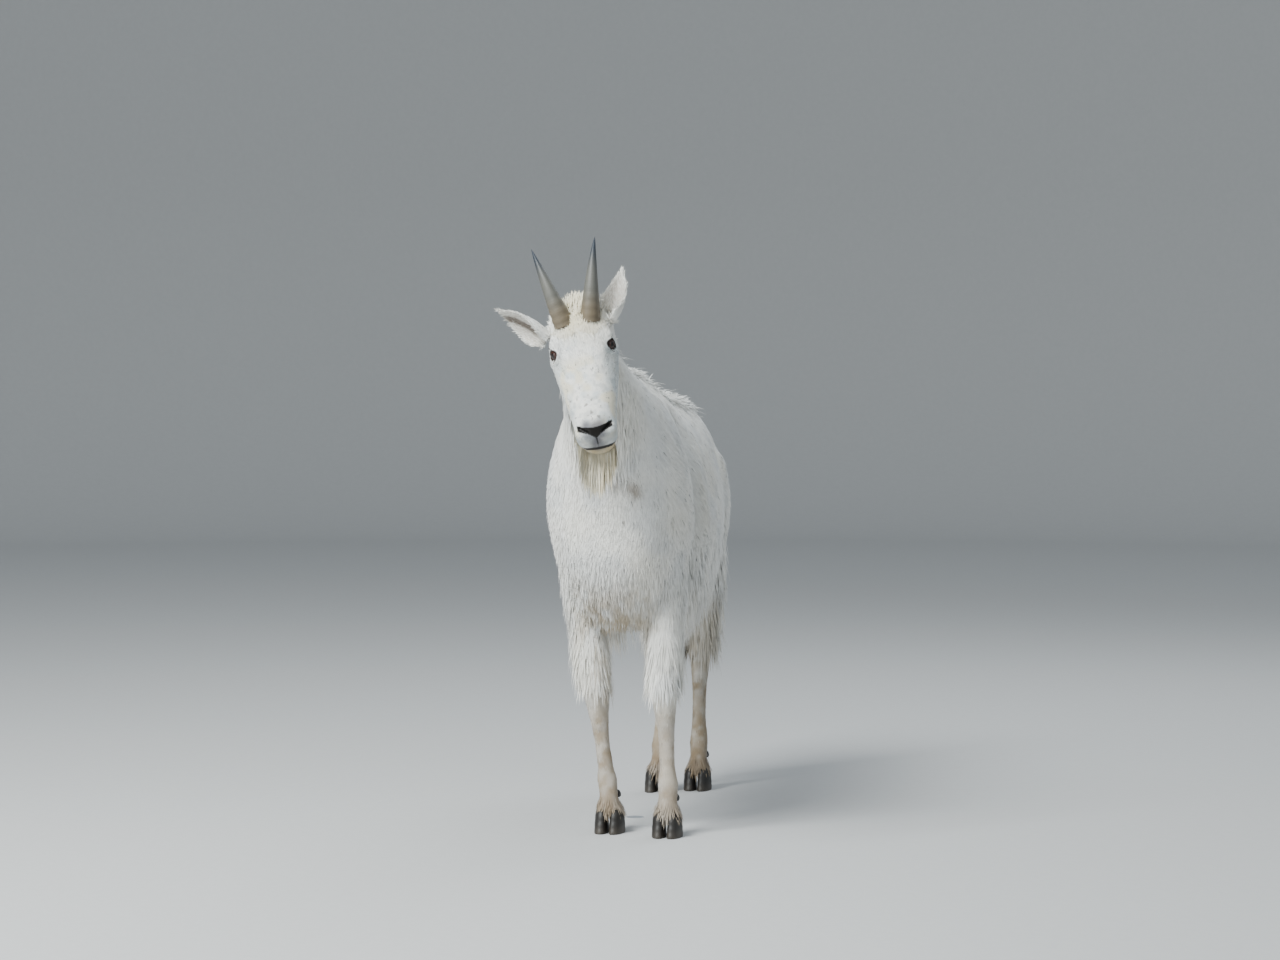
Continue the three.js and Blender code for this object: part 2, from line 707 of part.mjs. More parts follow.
// Where the long hair grows, by node. A form is given by its name, and clear lists the nodes
// that the locks are cut clear of. A lift is in radians. The first two are the ridge of the back
// with the hump, and the crest of the neck.
const CREST = [
  {
    node: "torso",
    form: "trunk",
    clear: [],
    places: [2.7, 10.8],
    angles: [1.22, 1.92],
    rows: 8,
    columns: 3,
    lie: BACK,
    long: 96,
    wide: 50,
    thick: 9,
    lift: 0.55,
    droop: 12,
  },
  {
    node: "neck",
    form: "trunk",
    clear: ["torso", "head", "ear_left", "ear_right"],
    places: [12.4, 14.5],
    angles: [1.2, 1.94],
    rows: 3,
    columns: 3,
    lie: BACK,
    long: 70,
    wide: 42,
    thick: 8,
    lift: 0.45,
    droop: 12,
  },
];

// The tuft behind the horns, the beard, and the long hair of the throat
const HEAD_HAIR = [
  {
    node: "head",
    form: "head",
    clear: ["neck", "horn_left", "horn_right", "ear_left", "ear_right"],
    places: [1.5, 1.5],
    angles: [1.2, 1.94],
    rows: 1,
    columns: 3,
    lie: UP,
    long: 30,
    wide: 42,
    thick: 10,
    lift: 0.2,
    droop: 0,
  },
  {
    node: "jaw",
    form: "head",
    clear: ["head"],
    places: [7.6, 11.1],
    angles: [-2.2, -0.72],
    rows: 4,
    columns: 3,
    lie: DOWN,
    long: 116,
    wide: 38,
    thick: 8,
    lift: 0.08,
    droop: 8,
  },
  {
    node: "neck",
    form: "trunk",
    clear: ["torso", "head", "jaw"],
    places: [13.5, 15.9],
    angles: [-1.95, -1.19],
    rows: 3,
    columns: 2,
    lie: DOWN,
    long: 96,
    wide: 48,
    thick: 8,
    lift: 0.16,
    droop: 8,
  },
];

// The skirt of the flanks, the pantaloons of the forelegs, the breeches of the hind legs, and
// the brush of the tail. Paired ones grow on both sides.
const BODY_HAIR = [
  {
    node: "torso",
    form: "trunk",
    paired: true,
    clear: ["foreleg_upper", "hindleg_upper"],
    places: [4.8, 8.2],
    angles: [-0.86, -0.66],
    rows: 9,
    columns: 1,
    lie: V(0, 0.5, -1),
    long: 138,
    wide: 82,
    thick: 9,
    lift: 0.1,
    droop: 0,
  },
  {
    node: "foreleg_upper",
    form: "foreleg",
    paired: true,
    clear: ["foreleg_lower", "torso"],
    places: [4.35, 6.5],
    angles: [-2.6, 2],
    rows: 3,
    columns: 4,
    lie: DOWN,
    long: 124,
    wide: 50,
    thick: 8,
    lift: 0.17,
    droop: 4,
  },
  {
    node: "hindleg_upper",
    form: "hindleg",
    paired: true,
    clear: ["hindleg_lower", "torso"],
    places: [3.5, 6.4],
    angles: [-2, 0.3],
    rows: 4,
    columns: 3,
    lie: V(0, 0.2, -1),
    long: 116,
    wide: 48,
    thick: 9,
    lift: 0.17,
    droop: 4,
  },
  {
    node: "tail",
    form: "tail",
    clear: ["torso"],
    places: [1.4, 3.6],
    angles: [0.3, Math.PI - 0.3],
    rows: 3,
    columns: 2,
    lie: DOWN,
    long: 74,
    wide: 34,
    thick: 7,
    lift: 0.14,
    droop: 4,
  },
];

// The body's solids, before they are cut clear of each other
const rawTrunk = trunk.solid();
const neckPlane = NECK_TOP.clone().sub(NECK_LOW).cross(V(1, 0, 0));
const [torsoSide, neckSide] = parted(rawTrunk, NECK_TOP, neckPlane);

const eyes = new Map();
for (const side of [LEFT, RIGHT]) eyes.set(side, ball(eyeFrame(side).middle, EYE_RADIUS, 14, 7));
const horns = new Map([LEFT, RIGHT].map((side) => [side, horn(side)]));
const mouthPlane = MOUTH_FRONT.clone().sub(MOUTH_BACK).cross(V(1, 0, 0)).normalize();
const openings = [LEFT, RIGHT].flatMap((side) => [lidOpening(side), nostril(side)]);
const wholeHead = cutClear(
  [...openings, lipLine(mouthPlane)].reduce(
    (s, o) => s.subtract(o),
    joined([headForm.solid(), lidCap(LEFT), lidCap(RIGHT)]),
  ),
  ...eyes.values(),
  ...horns.values(),
);
const [skullPart, jawPart] = parted(wholeHead, MOUTH_FRONT, mouthPlane);

const colours = {
  coat: { color: 0xe9e6dc, roughness: 0.85, metalness: 0 },
  horn: { color: 0x6f675c, roughness: 0.5, metalness: 0 },
  hoof: { color: 0x26221f, roughness: 0.55, metalness: 0 },
  eye: { color: 0x1a100b, roughness: 0.08, metalness: 0 },
};
const sideName = (side) => (side === LEFT ? "left" : "right");

// The plain solid of each node, clear of its neighbours
const cores = new Map();
const forms = new Map([["trunk", trunk], ["head", headForm], ["tail", tailForm]]);
cores.set("head", placed(skullPart));
cores.set("jaw", placed(jawPart));
for (const side of [LEFT, RIGHT]) {
  cores.set("eye_" + sideName(side), placed(eyes.get(side)));
  cores.set("horn_" + sideName(side), placed(horns.get(side)));
}
for (const pose of EARS)
  cores.set("ear_" + sideName(pose.side), placed(cutClear(ear(pose), wholeHead, horns.get(pose.side))));
const headWhole = placed(joined([wholeHead, ...eyes.values()]));
cores.set("neck", cutClear(neckSide, headWhole, cores.get("ear_left"), cores.get("ear_right")));

let torso = torsoSide;
for (const side of [LEFT, RIGHT]) {
  for (const [limb, rows, joint] of [
    ["foreleg", side === LEFT ? FORE_ROWS : stepped(FORE_ROWS, FORE_STEP), KNEE_HEIGHT],
    ["hindleg", side === LEFT ? HIND_ROWS : stepped(HIND_ROWS, HIND_STEP), HOCK_HEIGHT],
  ]) {
    const form = legForm(rows, side);
    forms.set(`${limb}_${sideName(side)}`, form);
    const solid = form.solid();
    const centre = (fromEnd) => V(...form.vectors[0].map((l) => l[form.last - fromEnd]));
    const [foot, pastern] = [centre(2), centre(3)];
    torso = torso.subtract(grown(solid));
    const [upper, shank] = parted(solid, V(0, 0, joint), UP);
    const lower = shank.trimByPlane(UP.toArray(), HOOF_HEIGHT + GAP);
    const toes = new Map([LEFT, RIGHT].map((toeSide) => [toeSide, toe(foot, toeSide)]));
    for (const [toeSide, hoof] of toes) {
      const where = toeSide === side ? "outer" : "inner";
      cores.set(`hoof_${limb}_${sideName(side)}_${where}`, hoof);
    }
    const claws = [LEFT, RIGHT].map((clawSide) => dewclaw(pastern, clawSide));
    cores.set(`${limb}_upper_${sideName(side)}`, upper);
    cores.set(`${limb}_lower_${sideName(side)}`, joined([lower, ...claws]));
  }
}
cores.set("tail", cutClear(tailForm.solid(), torso));
cores.set("torso", torso);

// The locks, by node. The beard stays under the plane of the mouth.
const locks = new Map();
const lips = MOUTH_FRONT.clone().applyMatrix4(inHead);
const lipPlane = mouthPlane.clone().transformDirection(inHead);
for (const { node, form, paired, clear, ...growth } of [...CREST, ...HEAD_HAIR, ...BODY_HAIR])
  for (const side of paired ? [LEFT, RIGHT] : [LEFT]) {
    const own = (name) => (cores.has(name) ? name : `${name}_${sideName(side)}`);
    const bearer = forms.get(form) ?? forms.get(`${form}_${sideName(side)}`);
    const blades = joined(coat(bearer, side, growth, form === "head" ? inHead : undefined));
    const low = node === "jaw" ? parted(blades, lips, lipPlane)[1] : blades;
    const around = clear.map(own).flatMap((name) => [cores.get(name), ...(locks.get(name) ?? [])]);
    const cut = cutClear(low, ...around);
    locks.set(own(node), [...(locks.get(own(node)) ?? []), cut]);
  }

const goat = new THREE.Group();
goat.name = "mountain_goat";
const bounds = new THREE.Box3();
for (const [name, core] of cores) {
  const solid = largest(joined([core, ...(locks.get(name) ?? [])]));
  const finish = ["eye", "horn", "hoof"].find((kind) => name.startsWith(kind)) ?? "coat";
  const mesh = new THREE.Mesh(geometryOf(solid), new THREE.MeshStandardMaterial(colours[finish]));
  mesh.name = name;
  goat.add(mesh);
  bounds.expandByObject(mesh);
}
const middle = bounds.getCenter(V());
goat.position.set(-middle.x, -middle.y, -bounds.min.z);

export default goat;
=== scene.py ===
# %% [markdown]
# # A mountain goat, life size, in its early summer coat
# The solids of the animal come from a CAD program, packed with their real size. This script
# dresses them: it lays one skin under the coat, grows the coat on it in tufts and locks of solid
# mesh, and finishes the eyes, horns and hooves. Blender works in metres. The body's own sizes
# are in millimetres here, because an animal is measured that way, and one function turns them
# into metres at the end.

import bpy
import numpy as np
from mathutils import Matrix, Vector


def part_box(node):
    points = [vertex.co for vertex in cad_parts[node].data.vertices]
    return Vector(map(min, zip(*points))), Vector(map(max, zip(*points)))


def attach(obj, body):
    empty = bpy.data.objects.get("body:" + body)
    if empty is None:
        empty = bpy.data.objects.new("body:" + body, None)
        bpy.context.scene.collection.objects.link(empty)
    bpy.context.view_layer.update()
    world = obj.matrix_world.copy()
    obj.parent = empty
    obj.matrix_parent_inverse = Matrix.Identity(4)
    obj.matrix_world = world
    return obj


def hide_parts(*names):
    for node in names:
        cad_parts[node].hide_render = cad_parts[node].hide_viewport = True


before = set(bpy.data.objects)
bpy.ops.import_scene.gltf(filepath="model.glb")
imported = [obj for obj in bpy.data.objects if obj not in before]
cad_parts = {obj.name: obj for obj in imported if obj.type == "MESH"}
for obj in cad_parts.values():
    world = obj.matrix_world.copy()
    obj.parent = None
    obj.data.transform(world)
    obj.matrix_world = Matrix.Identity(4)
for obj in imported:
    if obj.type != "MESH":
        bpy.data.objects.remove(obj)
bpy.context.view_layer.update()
SEED = 11
chance = np.random.default_rng(SEED)
MM = 0.001
LEFT, RIGHT = 1, -1
UP = np.array([0.0, 0.0, 1.0])
DOWN = -UP
BACK = np.array([0.0, 1.0, 0.0])
SIDEWAYS = np.array([1.0, 0.0, 0.0])

# %% [markdown]
# ## Where the head is
# The head has a frame of its own, in which it faces straight ahead with its crown up. Three turns
# pitch it down, lean it to the animal's right and turn it a little to its left. A rotation matrix
# does all three at once, for any number of points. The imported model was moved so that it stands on
# the middle of its own footprint, and the centre of the left eye tells by how much.

# %% The head's frame
HEAD_AT = np.array([-13.0, -655.0, 1060.0])
HEAD_PITCH, HEAD_ROLL, HEAD_YAW = np.radians([61, -11, 8])
EYE_SPREAD = 53
EYE_RADIUS = 15


def turn(axis, angle):
    """Rotation matrix about one axis: cosines on the diagonal, sines beside it."""
    a, b = [(1, 2), (2, 0), (0, 1)][axis]
    matrix = np.eye(3)
    matrix[a, a] = matrix[b, b] = np.cos(angle)
    matrix[a, b] = -np.sin(angle)
    matrix[b, a] = np.sin(angle)
    return matrix


HEAD_TURN = turn(2, HEAD_YAW) @ turn(1, HEAD_ROLL) @ turn(0, HEAD_PITCH)


def from_head(points):
    """Points of the head's frame in the body's: turned, then moved to the head's place."""
    return points @ HEAD_TURN.T + HEAD_AT


def into_head(points):
    """The way back: a rotation's inverse is its transpose."""
    return (points - HEAD_AT) @ HEAD_TURN


eye_box = np.array(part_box("eye_left"))
SHIFT = eye_box.mean(0) / MM - from_head(np.array([EYE_SPREAD, 0, 0]))


def metres(points):
    """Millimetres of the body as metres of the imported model: moved, then times 0.001."""
    return (points + SHIFT) * MM


print("the model was moved by", np.round(SHIFT, 2), "mm")

# %% [markdown]
# ## The camera
# The camera stands about seven metres away, a little to the animal's left and at the height of
# its eyes, with a long lens. A long lens flattens the depth, which is why the body looks hardly
# smaller than the head. The focal length in pixels gives the lens: for a sensor 36 mm wide and a
# frame 1280 pixels wide, it is 36 times the focal length over 1280.

# %% Place the camera
FOCAL_PIXELS = 3360
HORIZON_PIXELS = 150
FRAME_PIXELS = 1280
SENSOR_WIDE = 36
CAMERA_SIDE = np.radians(11)
CAMERA_DOWN = np.arctan(HORIZON_PIXELS / FOCAL_PIXELS)
CAMERA_HIGH = 1100
CAMERA_AWAY = 7000
CAMERA_MIDDLE = -18.3
sight_right = np.array([np.cos(CAMERA_SIDE), np.sin(CAMERA_SIDE), 0])
sight_ahead = np.array([-np.sin(CAMERA_SIDE), np.cos(CAMERA_SIDE), 0])
camera_at = (
    sight_right * CAMERA_MIDDLE
    + sight_ahead * (HEAD_AT @ sight_ahead - CAMERA_AWAY)
    + UP * CAMERA_HIGH
)
sight = sight_ahead * np.cos(CAMERA_DOWN) + DOWN * np.sin(CAMERA_DOWN)
lens = bpy.data.cameras.new("camera")
lens.sensor_width = SENSOR_WIDE
lens.lens = SENSOR_WIDE * FOCAL_PIXELS / FRAME_PIXELS
lens.clip_end = 60
camera = bpy.data.objects.new("camera", lens)
bpy.context.scene.collection.objects.link(camera)
pose = np.eye(4)
pose[:3, 0] = sight_right
pose[:3, 1] = np.cross(-sight, sight_right)
pose[:3, 2] = -sight
pose[:3, 3] = metres(camera_at)
camera.matrix_world = Matrix(pose.tolist())
bpy.context.scene.camera = camera
print("lens", round(lens.lens, 1), "mm, camera at", np.round(metres(camera_at), 2))

# %% [markdown]
# ## Body forms
# A body part is a tube whose cross-section changes along it. A few measured sections carry the
# whole shape: a smooth curve through the rows of the table gives every size between them, and a
# superellipse, an ellipse with a chosen squareness, gives the round of a section. The same forms
# made the solids, so the skin lies exactly inside them.

# %% A form through a row of sections


def smooth(table, place):
    """Catmull-Rom curve through the rows of a table, read at places from 0 to the last row."""
    last = len(table) - 1
    place = np.clip(place, 0, last - 1e-6)
    row = np.floor(place).astype(int)
    f = (place - row).reshape(place.shape + (1,) * (table.ndim - 1))
    a, b, c, d = (table[np.clip(row + k, 0, last)] for k in (-1, 0, 1, 2))
    return b + 0.5 * f * (c - a + f * (2 * a - 5 * b + 4 * c - d + f * (3 * (b - c) + d - a)))


def unit(vectors):
    """Each vector over its own length."""
    return vectors / np.maximum(np.linalg.norm(vectors, axis=-1, keepdims=True), 1e-9)


def form(centre, up, wide, top, bottom, square, pinch_top=0.0, pinch_bottom=0.0):
    """The sections of one form, as tables with a row for each."""
    sizes = [wide, top, bottom, square, pinch_top, pinch_bottom]
    return {
        "centre": centre,
        "up": up,
        "sizes": np.stack([np.broadcast_to(s, len(centre)) for s in sizes], 1).astype(float),
        "last": len(centre) - 1,
    }


def surface(body, place, angle):
    """Superellipse section at a place: across is the cosine and rise the sine of the angle, each
    to the power 2 / squareness, and the width narrows with the square of the rise."""
    wide, top, bottom, square, pinch_top, pinch_bottom = np.moveaxis(smooth(body["sizes"], place), -1, 0)
    across = np.sign(np.cos(angle)) * np.abs(np.cos(angle)) ** (2 / square)
    rise = np.sign(np.sin(angle)) * np.abs(np.sin(angle)) ** (2 / square)
    width = wide * across * (1 - np.where(rise > 0, pinch_top, pinch_bottom) * rise**2)
    height = np.where(rise > 0, top, bottom) * rise
    middle = smooth(body["centre"], place) + SIDEWAYS * width[..., None]
    return middle + smooth(body["up"], place) * height[..., None]


def between(rows, x_column):
    """A form from rows of a top point, a low point, a half width and where it is widest."""
    top = np.array([[row[x_column] if x_column else 0, *row[0]] for row in rows], float)
    low = np.array([[row[x_column] if x_column else 0, *row[1]] for row in rows], float)
    wide = np.array([row[2] for row in rows], float)
    waist = np.array([row[3] for row in rows], float)
    rise = top - low
    height = np.linalg.norm(rise, axis=1)
    return low + rise * waist[:, None], unit(rise), wide, height * (1 - waist), height * waist


# %% [markdown]
# ### Trunk, head, legs and tail
# Each row of the trunk gives a point of the back line and of the belly line, half the width, where
# it is widest as a share of the height, and how far the row lies to the animal's left. The head's
# rows are the face line and the jaw line in its own frame. A leg's rows are level sections: the
# middle, half the width, and the reaches to the front and to the back.

# %% Measured rows
TRUNK_ROWS = [
    ((520, 806), (520, 770), 0, 0.5, 0),
    ((512, 858), (516, 690), 52, 0.5, 0),
    ((482, 898), (496, 620), 84, 0.46, 0),
    ((425, 924), (445, 580), 103, 0.43, 0),
    ((330, 936), (345, 530), 122, 0.4, 0),
    ((215, 942), (220, 488), 143, 0.4, 0),
    ((100, 949), (85, 460), 158, 0.41, 0),
    ((0, 960), (-50, 450), 166, 0.42, 0),
    ((-95, 980), (-170, 448), 168, 0.43, 0),
    ((-170, 996), (-290, 455), 166, 0.44, 0),
    ((-228, 1003), (-390, 486), 163, 0.44, 0),
    ((-285, 1008), (-445, 580), 157, 0.44, 0),
    ((-345, 1020), (-466, 690), 133, 0.42, -1),
    ((-415, 1044), (-494, 785), 100, 0.42, -4),
    ((-480, 1072), (-522, 862), 86, 0.45, -10),
    ((-535, 1094), (-548, 915), 76, 0.48, -17),
    ((-582, 1102), (-566, 962), 64, 0.5, -23),
    ((-604, 1050), (-606, 1035), 0, 0.5, -24),
]
HEAD_ROWS = [
    ((106, -18), (106, -26), 0, 0.5),
    ((100, 12), (96, -58), 39, 0.5),
    ((88, 28), (78, -87), 57, 0.52),
    ((65, 38), (51, -107), 66, 0.56),
    ((35, 41), (20, -114), 69, 0.6),
    ((0, 38), (-12, -110), 69, 0.62),
    ((-35, 33), (-45, -100), 67, 0.58),
    ((-75, 28), (-80, -90), 61, 0.54),
    ((-115, 23), (-115, -80), 54, 0.52),
    ((-150, 18), (-150, -73), 48, 0.52),
    ((-182, 11), (-182, -68), 44, 0.54),
    ((-203, 0), (-200, -61), 39, 0.54),
    ((-213, -14), (-210, -51), 27, 0.54),
    ((-216, -28), (-214, -36), 0, 0.5),
]
HOOF_HEIGHT = 52
KNEE_HEIGHT = 332
FORE_ROWS = [
    (92, -275, 690, 0, 0, 0),
    (94, -280, 670, 42, 60, 60),
    (96, -288, 620, 54, 78, 80),
    (98, -298, 560, 54, 70, 76),
    (99, -308, 500, 50, 56, 62),
    (98, -318, 430, 44, 46, 50),
    (98, -328, 370, 38, 40, 42),
    (99, -333, KNEE_HEIGHT, 36, 38, 36),
    (101, -335, 290, 29, 31, 31),
    (105, -337, 220, 20, 22, 24),
    (108, -339, 150, 19, 21, 24),
    (110, -341, 112, 24, 25, 31),
    (111, -351, 76, 22, 25, 26),
    (112, -359, HOOF_HEIGHT, 30, 31, 30),
    (112, -360, 42, 25, 27, 26),
    (112, -360, 38, 0, 0, 0),
]
HOCK_HEIGHT = 352
HIND_ROWS = [
    (70, 372, 830, 0, 0, 0),
    (70, 374, 810, 38, 70, 66),
    (72, 372, 740, 54, 108, 104),
    (72, 362, 660, 58, 120, 112),
    (68, 358, 580, 52, 102, 96),
    (60, 378, 500, 44, 70, 72),
    (52, 410, 430, 36, 48, 50),
    (46, 436, 380, 31, 38, 42),
    (43, 448, HOCK_HEIGHT, 29, 35, 40),
    (42, 446, 310, 25, 30, 33),
    (43, 434, 240, 20, 23, 25),
    (44, 422, 165, 19, 22, 24),
    (45, 414, 112, 24, 25, 31),
    (46, 402, 76, 22, 24, 25),
    (46, 393, HOOF_HEIGHT, 29, 30, 29),
    (46, 392, 42, 24, 26, 25),
    (46, 392, 38, 0, 0, 0),
]
TAIL_ROWS = [
    (484, 886, 0, 0),
    (504, 878, 24, 18),
    (532, 852, 29, 20),
    (548, 806, 29, 18),
    (548, 754, 22, 14),
    (540, 706, 0, 0),
]

# %% Forms from the rows
STEP_HEIGHT = 620
FORE_STEP = (98, 42)
HIND_STEP = (6, -48)


def leg(rows, side, step=(0, 0)):
    """A leg's form. A step moves the foot inward and back, by more the lower the row is."""
    table = np.array(rows, float)
    down = np.maximum(1 - table[:, 2] / STEP_HEIGHT, 0) ** 1.15
    centre = table[:, :3] + np.stack([-step[0] * down, step[1] * down, 0 * down], 1)
    centre[:, 0] *= side
    up = np.broadcast_to(-BACK, centre.shape)
    return form(centre, up, table[:, 3], table[:, 4], table[:, 5], 2.1)


trunk = form(*between(TRUNK_ROWS, 4), 2.15, 0.22, 0.1)
skull = form(*between(HEAD_ROWS, None), 2.5, 0.12, 0.3)
legs = {
    "foreleg_left": leg(FORE_ROWS, LEFT),
    "foreleg_right": leg(FORE_ROWS, RIGHT, FORE_STEP),
    "hindleg_left": leg(HIND_ROWS, LEFT),
    "hindleg_right": leg(HIND_ROWS, RIGHT, HIND_STEP),
}
tail_table = np.array(TAIL_ROWS, float)
tail = form(
    np.stack([0 * tail_table[:, 0], tail_table[:, 0], tail_table[:, 1]], 1),
    np.broadcast_to(unit(np.array([0, 0.9, 0.44])), (len(TAIL_ROWS), 3)),
    tail_table[:, 2],
    tail_table[:, 3],
    tail_table[:, 3],
    2.2,
)
print("legs:", ", ".join(legs))

# %% [markdown]
# ## From arrays to meshes
# A grid of points, rings by sides, becomes a closed shell: quads join each ring to the next, and
# a fan of triangles closes each end. Which way the faces point follows from the sign of the
# shell's volume, so no face needs to be turned by hand.

# %% Shells


def shell(grid):
    """Vertices and triangles of a grid that is closed round each ring and at both ends."""
    rings, sides = grid.shape[:2]
    here = np.arange(rings * sides).reshape(rings, sides)
    there = np.roll(here, -1, axis=1)
    quads = np.stack([here[:-1], there[:-1], there[1:], here[1:]], -1).reshape(-1, 4)
    points = np.concatenate([grid.reshape(-1, 3), grid[[0, -1]].mean(1)])
    ends = np.full(sides, rings * sides)
    first = np.stack([there[0], here[0], ends], -1)
    last = np.stack([here[-1], there[-1], ends + 1], -1)
    faces = np.concatenate([quads[:, :3], quads[:, [0, 2, 3]], first, last])
    a, b, c = (points[faces[:, k]] for k in range(3))
    volume = np.einsum("ij,ij->", a, np.cross(b, c))
    return points, faces if volume > 0 else faces[:, ::-1]


def shell_of(body, rings, sides, place=lambda p: p):
    """The shell of a form, with its points passed through a last function of place."""
    places = np.linspace(0.004, body["last"] - 0.004, rings)[:, None]
    angles = np.linspace(0, 2 * np.pi, sides, endpoint=False)[None]
    grid = surface(body, *np.broadcast_arrays(places, angles))
    return shell(place(grid))


def joined(parts):
    """Several shells as one list of points and one of faces."""
    offsets = np.cumsum([0] + [len(points) for points, _ in parts[:-1]])
    faces = [part[1] + offset for part, offset in zip(parts, offsets)]
    return np.concatenate([part[0] for part in parts]), np.concatenate(faces)


def mesh_from(name, points, faces):
    """A mesh in metres from points in millimetres and triangles or quads."""
    mesh = bpy.data.meshes.new(name)
    corners = faces.shape[1]
    mesh.vertices.add(len(points))
    mesh.vertices.foreach_set("co", metres(points).astype(np.float32).ravel())
    mesh.loops.add(faces.size)
    mesh.loops.foreach_set("vertex_index", faces.astype(np.int32).ravel())
    mesh.polygons.add(len(faces))
    mesh.polygons.foreach_set("loop_start", np.arange(0, faces.size, corners, dtype=np.int32))
    mesh.update(calc_edges=True)
    mesh.shade_smooth()
    return mesh


def piece_from(name, mesh, material, replaced=()):
    """An object for a finished mesh, which rides on the body and stands for some solids."""
    piece = bpy.data.objects.new(name, mesh)
    bpy.context.scene.collection.objects.link(piece)
    mesh.materials.append(material)
    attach(piece, "root")
    if replaced:
        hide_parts(*replaced)
    return piece


# %% [markdown]
# ## Colour
# Colours are picked as sRGB hex values, the way a paint program shows them, and Blender's shaders
# want them linear, so one function turns them. The coat isn't one white: it is cream on the
# forehead, nape and beard, stained on the brisket and inner legs, tan below the knees, black at
# the nose. All of that is one function of the place on the body, which colours skin and hair
# alike, so that a gap between tufts never shows another colour.

# %% Colour and noise


def linear(code):
    """Linear RGB from an sRGB hex value: divide by 12.92 near black, else a power of 2.4."""
    srgb = np.array([int(code[i : i + 2], 16) / 255 for i in (1, 3, 5)])
    return np.where(srgb <= 0.04045, srgb / 12.92, ((srgb + 0.055) / 1.055) ** 2.4)


def fade(value, start, stop):
    """0 before start and 1 past stop, with an eased slope between; start may be the larger."""
    t = np.clip((value - start) / (stop - start), 0, 1)
    return t * t * (3 - 2 * t)


def noise(points, size, seed=0):
    """Value noise: a random number at each corner of cubes of a size, blended with eased slopes."""
    q = points / size + 31.7 * seed
    cell = np.floor(q).astype(np.int64)
    f = q - cell
    f = f * f * (3 - 2 * f)
    total = np.zeros(len(points))
    for corner in np.ndindex(2, 2, 2):
        c = cell + corner
        key = (c[:, 0] * 73856093) ^ (c[:, 1] * 19349663) ^ (c[:, 2] * 83492791)
        value = np.modf(np.sin((key % 100003) * 12.9898) * 43758.5453)[0] % 1.0
        total += value * np.prod(np.where(corner, f, 1 - f), axis=1)
    return total


def blend(first, other, share):
    """From the first to the other colour or direction, by a share at each point."""
    return first + (np.asarray(other, float) - first) * share[:, None]


# %% [markdown]
# ### The marks of the face
# The mouth is a line from the lips' front to a corner, where a plane cuts the muzzle. The nose is
# a flat triangle that points down, between an upper edge that is nearly straight and a V, and a
# line runs from it down to the lips. A point's distance from such an edge, taken over both halves
# of the face, says how deep the skin is pressed in and how dark it is.

# %% Lines of the face
MOUTH_FRONT = np.array([0.0, -214, -40])
MOUTH_BACK = np.array([0.0, 30, -84])
MOUTH_NORMAL = unit(np.cross(MOUTH_FRONT - MOUTH_BACK, [1.0, 0, 0]))
MOUTH_CORNER = -136
NOSTRIL = np.array([(34.0, -182, 1), (30, -187, 2), (24, -192, 2.5), (17, -197, 1)])
PHILTRUM = np.array([(0.0, -206, -5), (0, -213, -18), (0, -214, -36)])
DOWN_FACE = np.array([0.0, -0.88, -0.437])
NOSE_WIDE = 37
EYE_FACING = unit(np.array([0.70, -0.44, 0.56]))
EYE_OPEN = (14.4, 13.0)


def line_distance(points, line):
    """The least distance from each point to a chain of straight stretches."""
    best = np.full(len(points), np.inf)
    for start, stop in zip(line[:-1], line[1:]):
        run = stop - start
        share = np.clip((points - start) @ run / (run @ run), 0, 1)
        best = np.minimum(best, np.linalg.norm(points - start - share[:, None] * run, axis=1))
    return best


def folded(points):
    """Points of the head with the right half laid over the left."""
    return points * np.where(points[:, :1] < 0, -1, 1) ** np.array([1, 0, 0])


def eye_frame(side):
    """The middle of an eye and the directions that it faces, that its slit runs, and up."""
    facing = EYE_FACING * [side, 1, 1]
    along = unit(np.array([0, -1, -0.15]))
    up = unit(np.cross(facing, along) * side)
    level = unit(np.cross(up, facing) * side)
    return np.array([EYE_SPREAD * side, 0.0, 0.0]), facing, level, up


def eye_slit(points):
    """How far a point is out of the slit of the lids: below 1 inside it, 1 on its edge. The slit is
    an almond, whose height falls off with a power of the sine."""
    middle, facing, level, up = eye_frame(LEFT)
    across = (points - middle) @ level / EYE_OPEN[0]
    rise = (points - middle) @ up / EYE_OPEN[1]
    ahead = (points - middle) @ facing
    room = np.sqrt(np.maximum(1 - np.clip(np.abs(across), 0, 1) ** 2, 1e-4)) ** 1.35
    return np.where(ahead > 0, np.maximum(np.abs(across), np.hypot(across, rise / room * 0.96)), 9.0)


def face_marks(head):
    """Shares of the nose, the mouth line and the eye slit at points of the head."""
    half = folded(head)
    down = half @ DOWN_FACE
    wide = np.clip(half[:, 0] / NOSE_WIDE, 0, 1.2)
    above = 163.5 - 9 * wide**1.9 - down
    below = down - 188.5 + 21 * wide**0.62
    pad = np.max([above, below, 1.2 * (half[:, 0] - NOSE_WIDE), -15 - half[:, 2]], axis=0)
    nose = np.minimum(pad + 6, line_distance(half, PHILTRUM) + 4.7)
    level = (head - MOUTH_FRONT) @ MOUTH_NORMAL
    mouth = np.maximum(np.abs(level) - 1.6 * fade(head[:, 1], -186, -204), 0)
    mouth = mouth + 8 * fade(head[:, 1], MOUTH_CORNER - 6, MOUTH_CORNER + 8)
    return nose, mouth, eye_slit(half)


# %% [markdown]
# ## Ears
# An ear is a long leaf rolled into a cup. Across it the rim runs on an arc, tightly rolled at the
# root and open at the tip, and along it the width swells and narrows to a point. The wall is
# closed: the outer arc goes one way and the inner arc comes back.

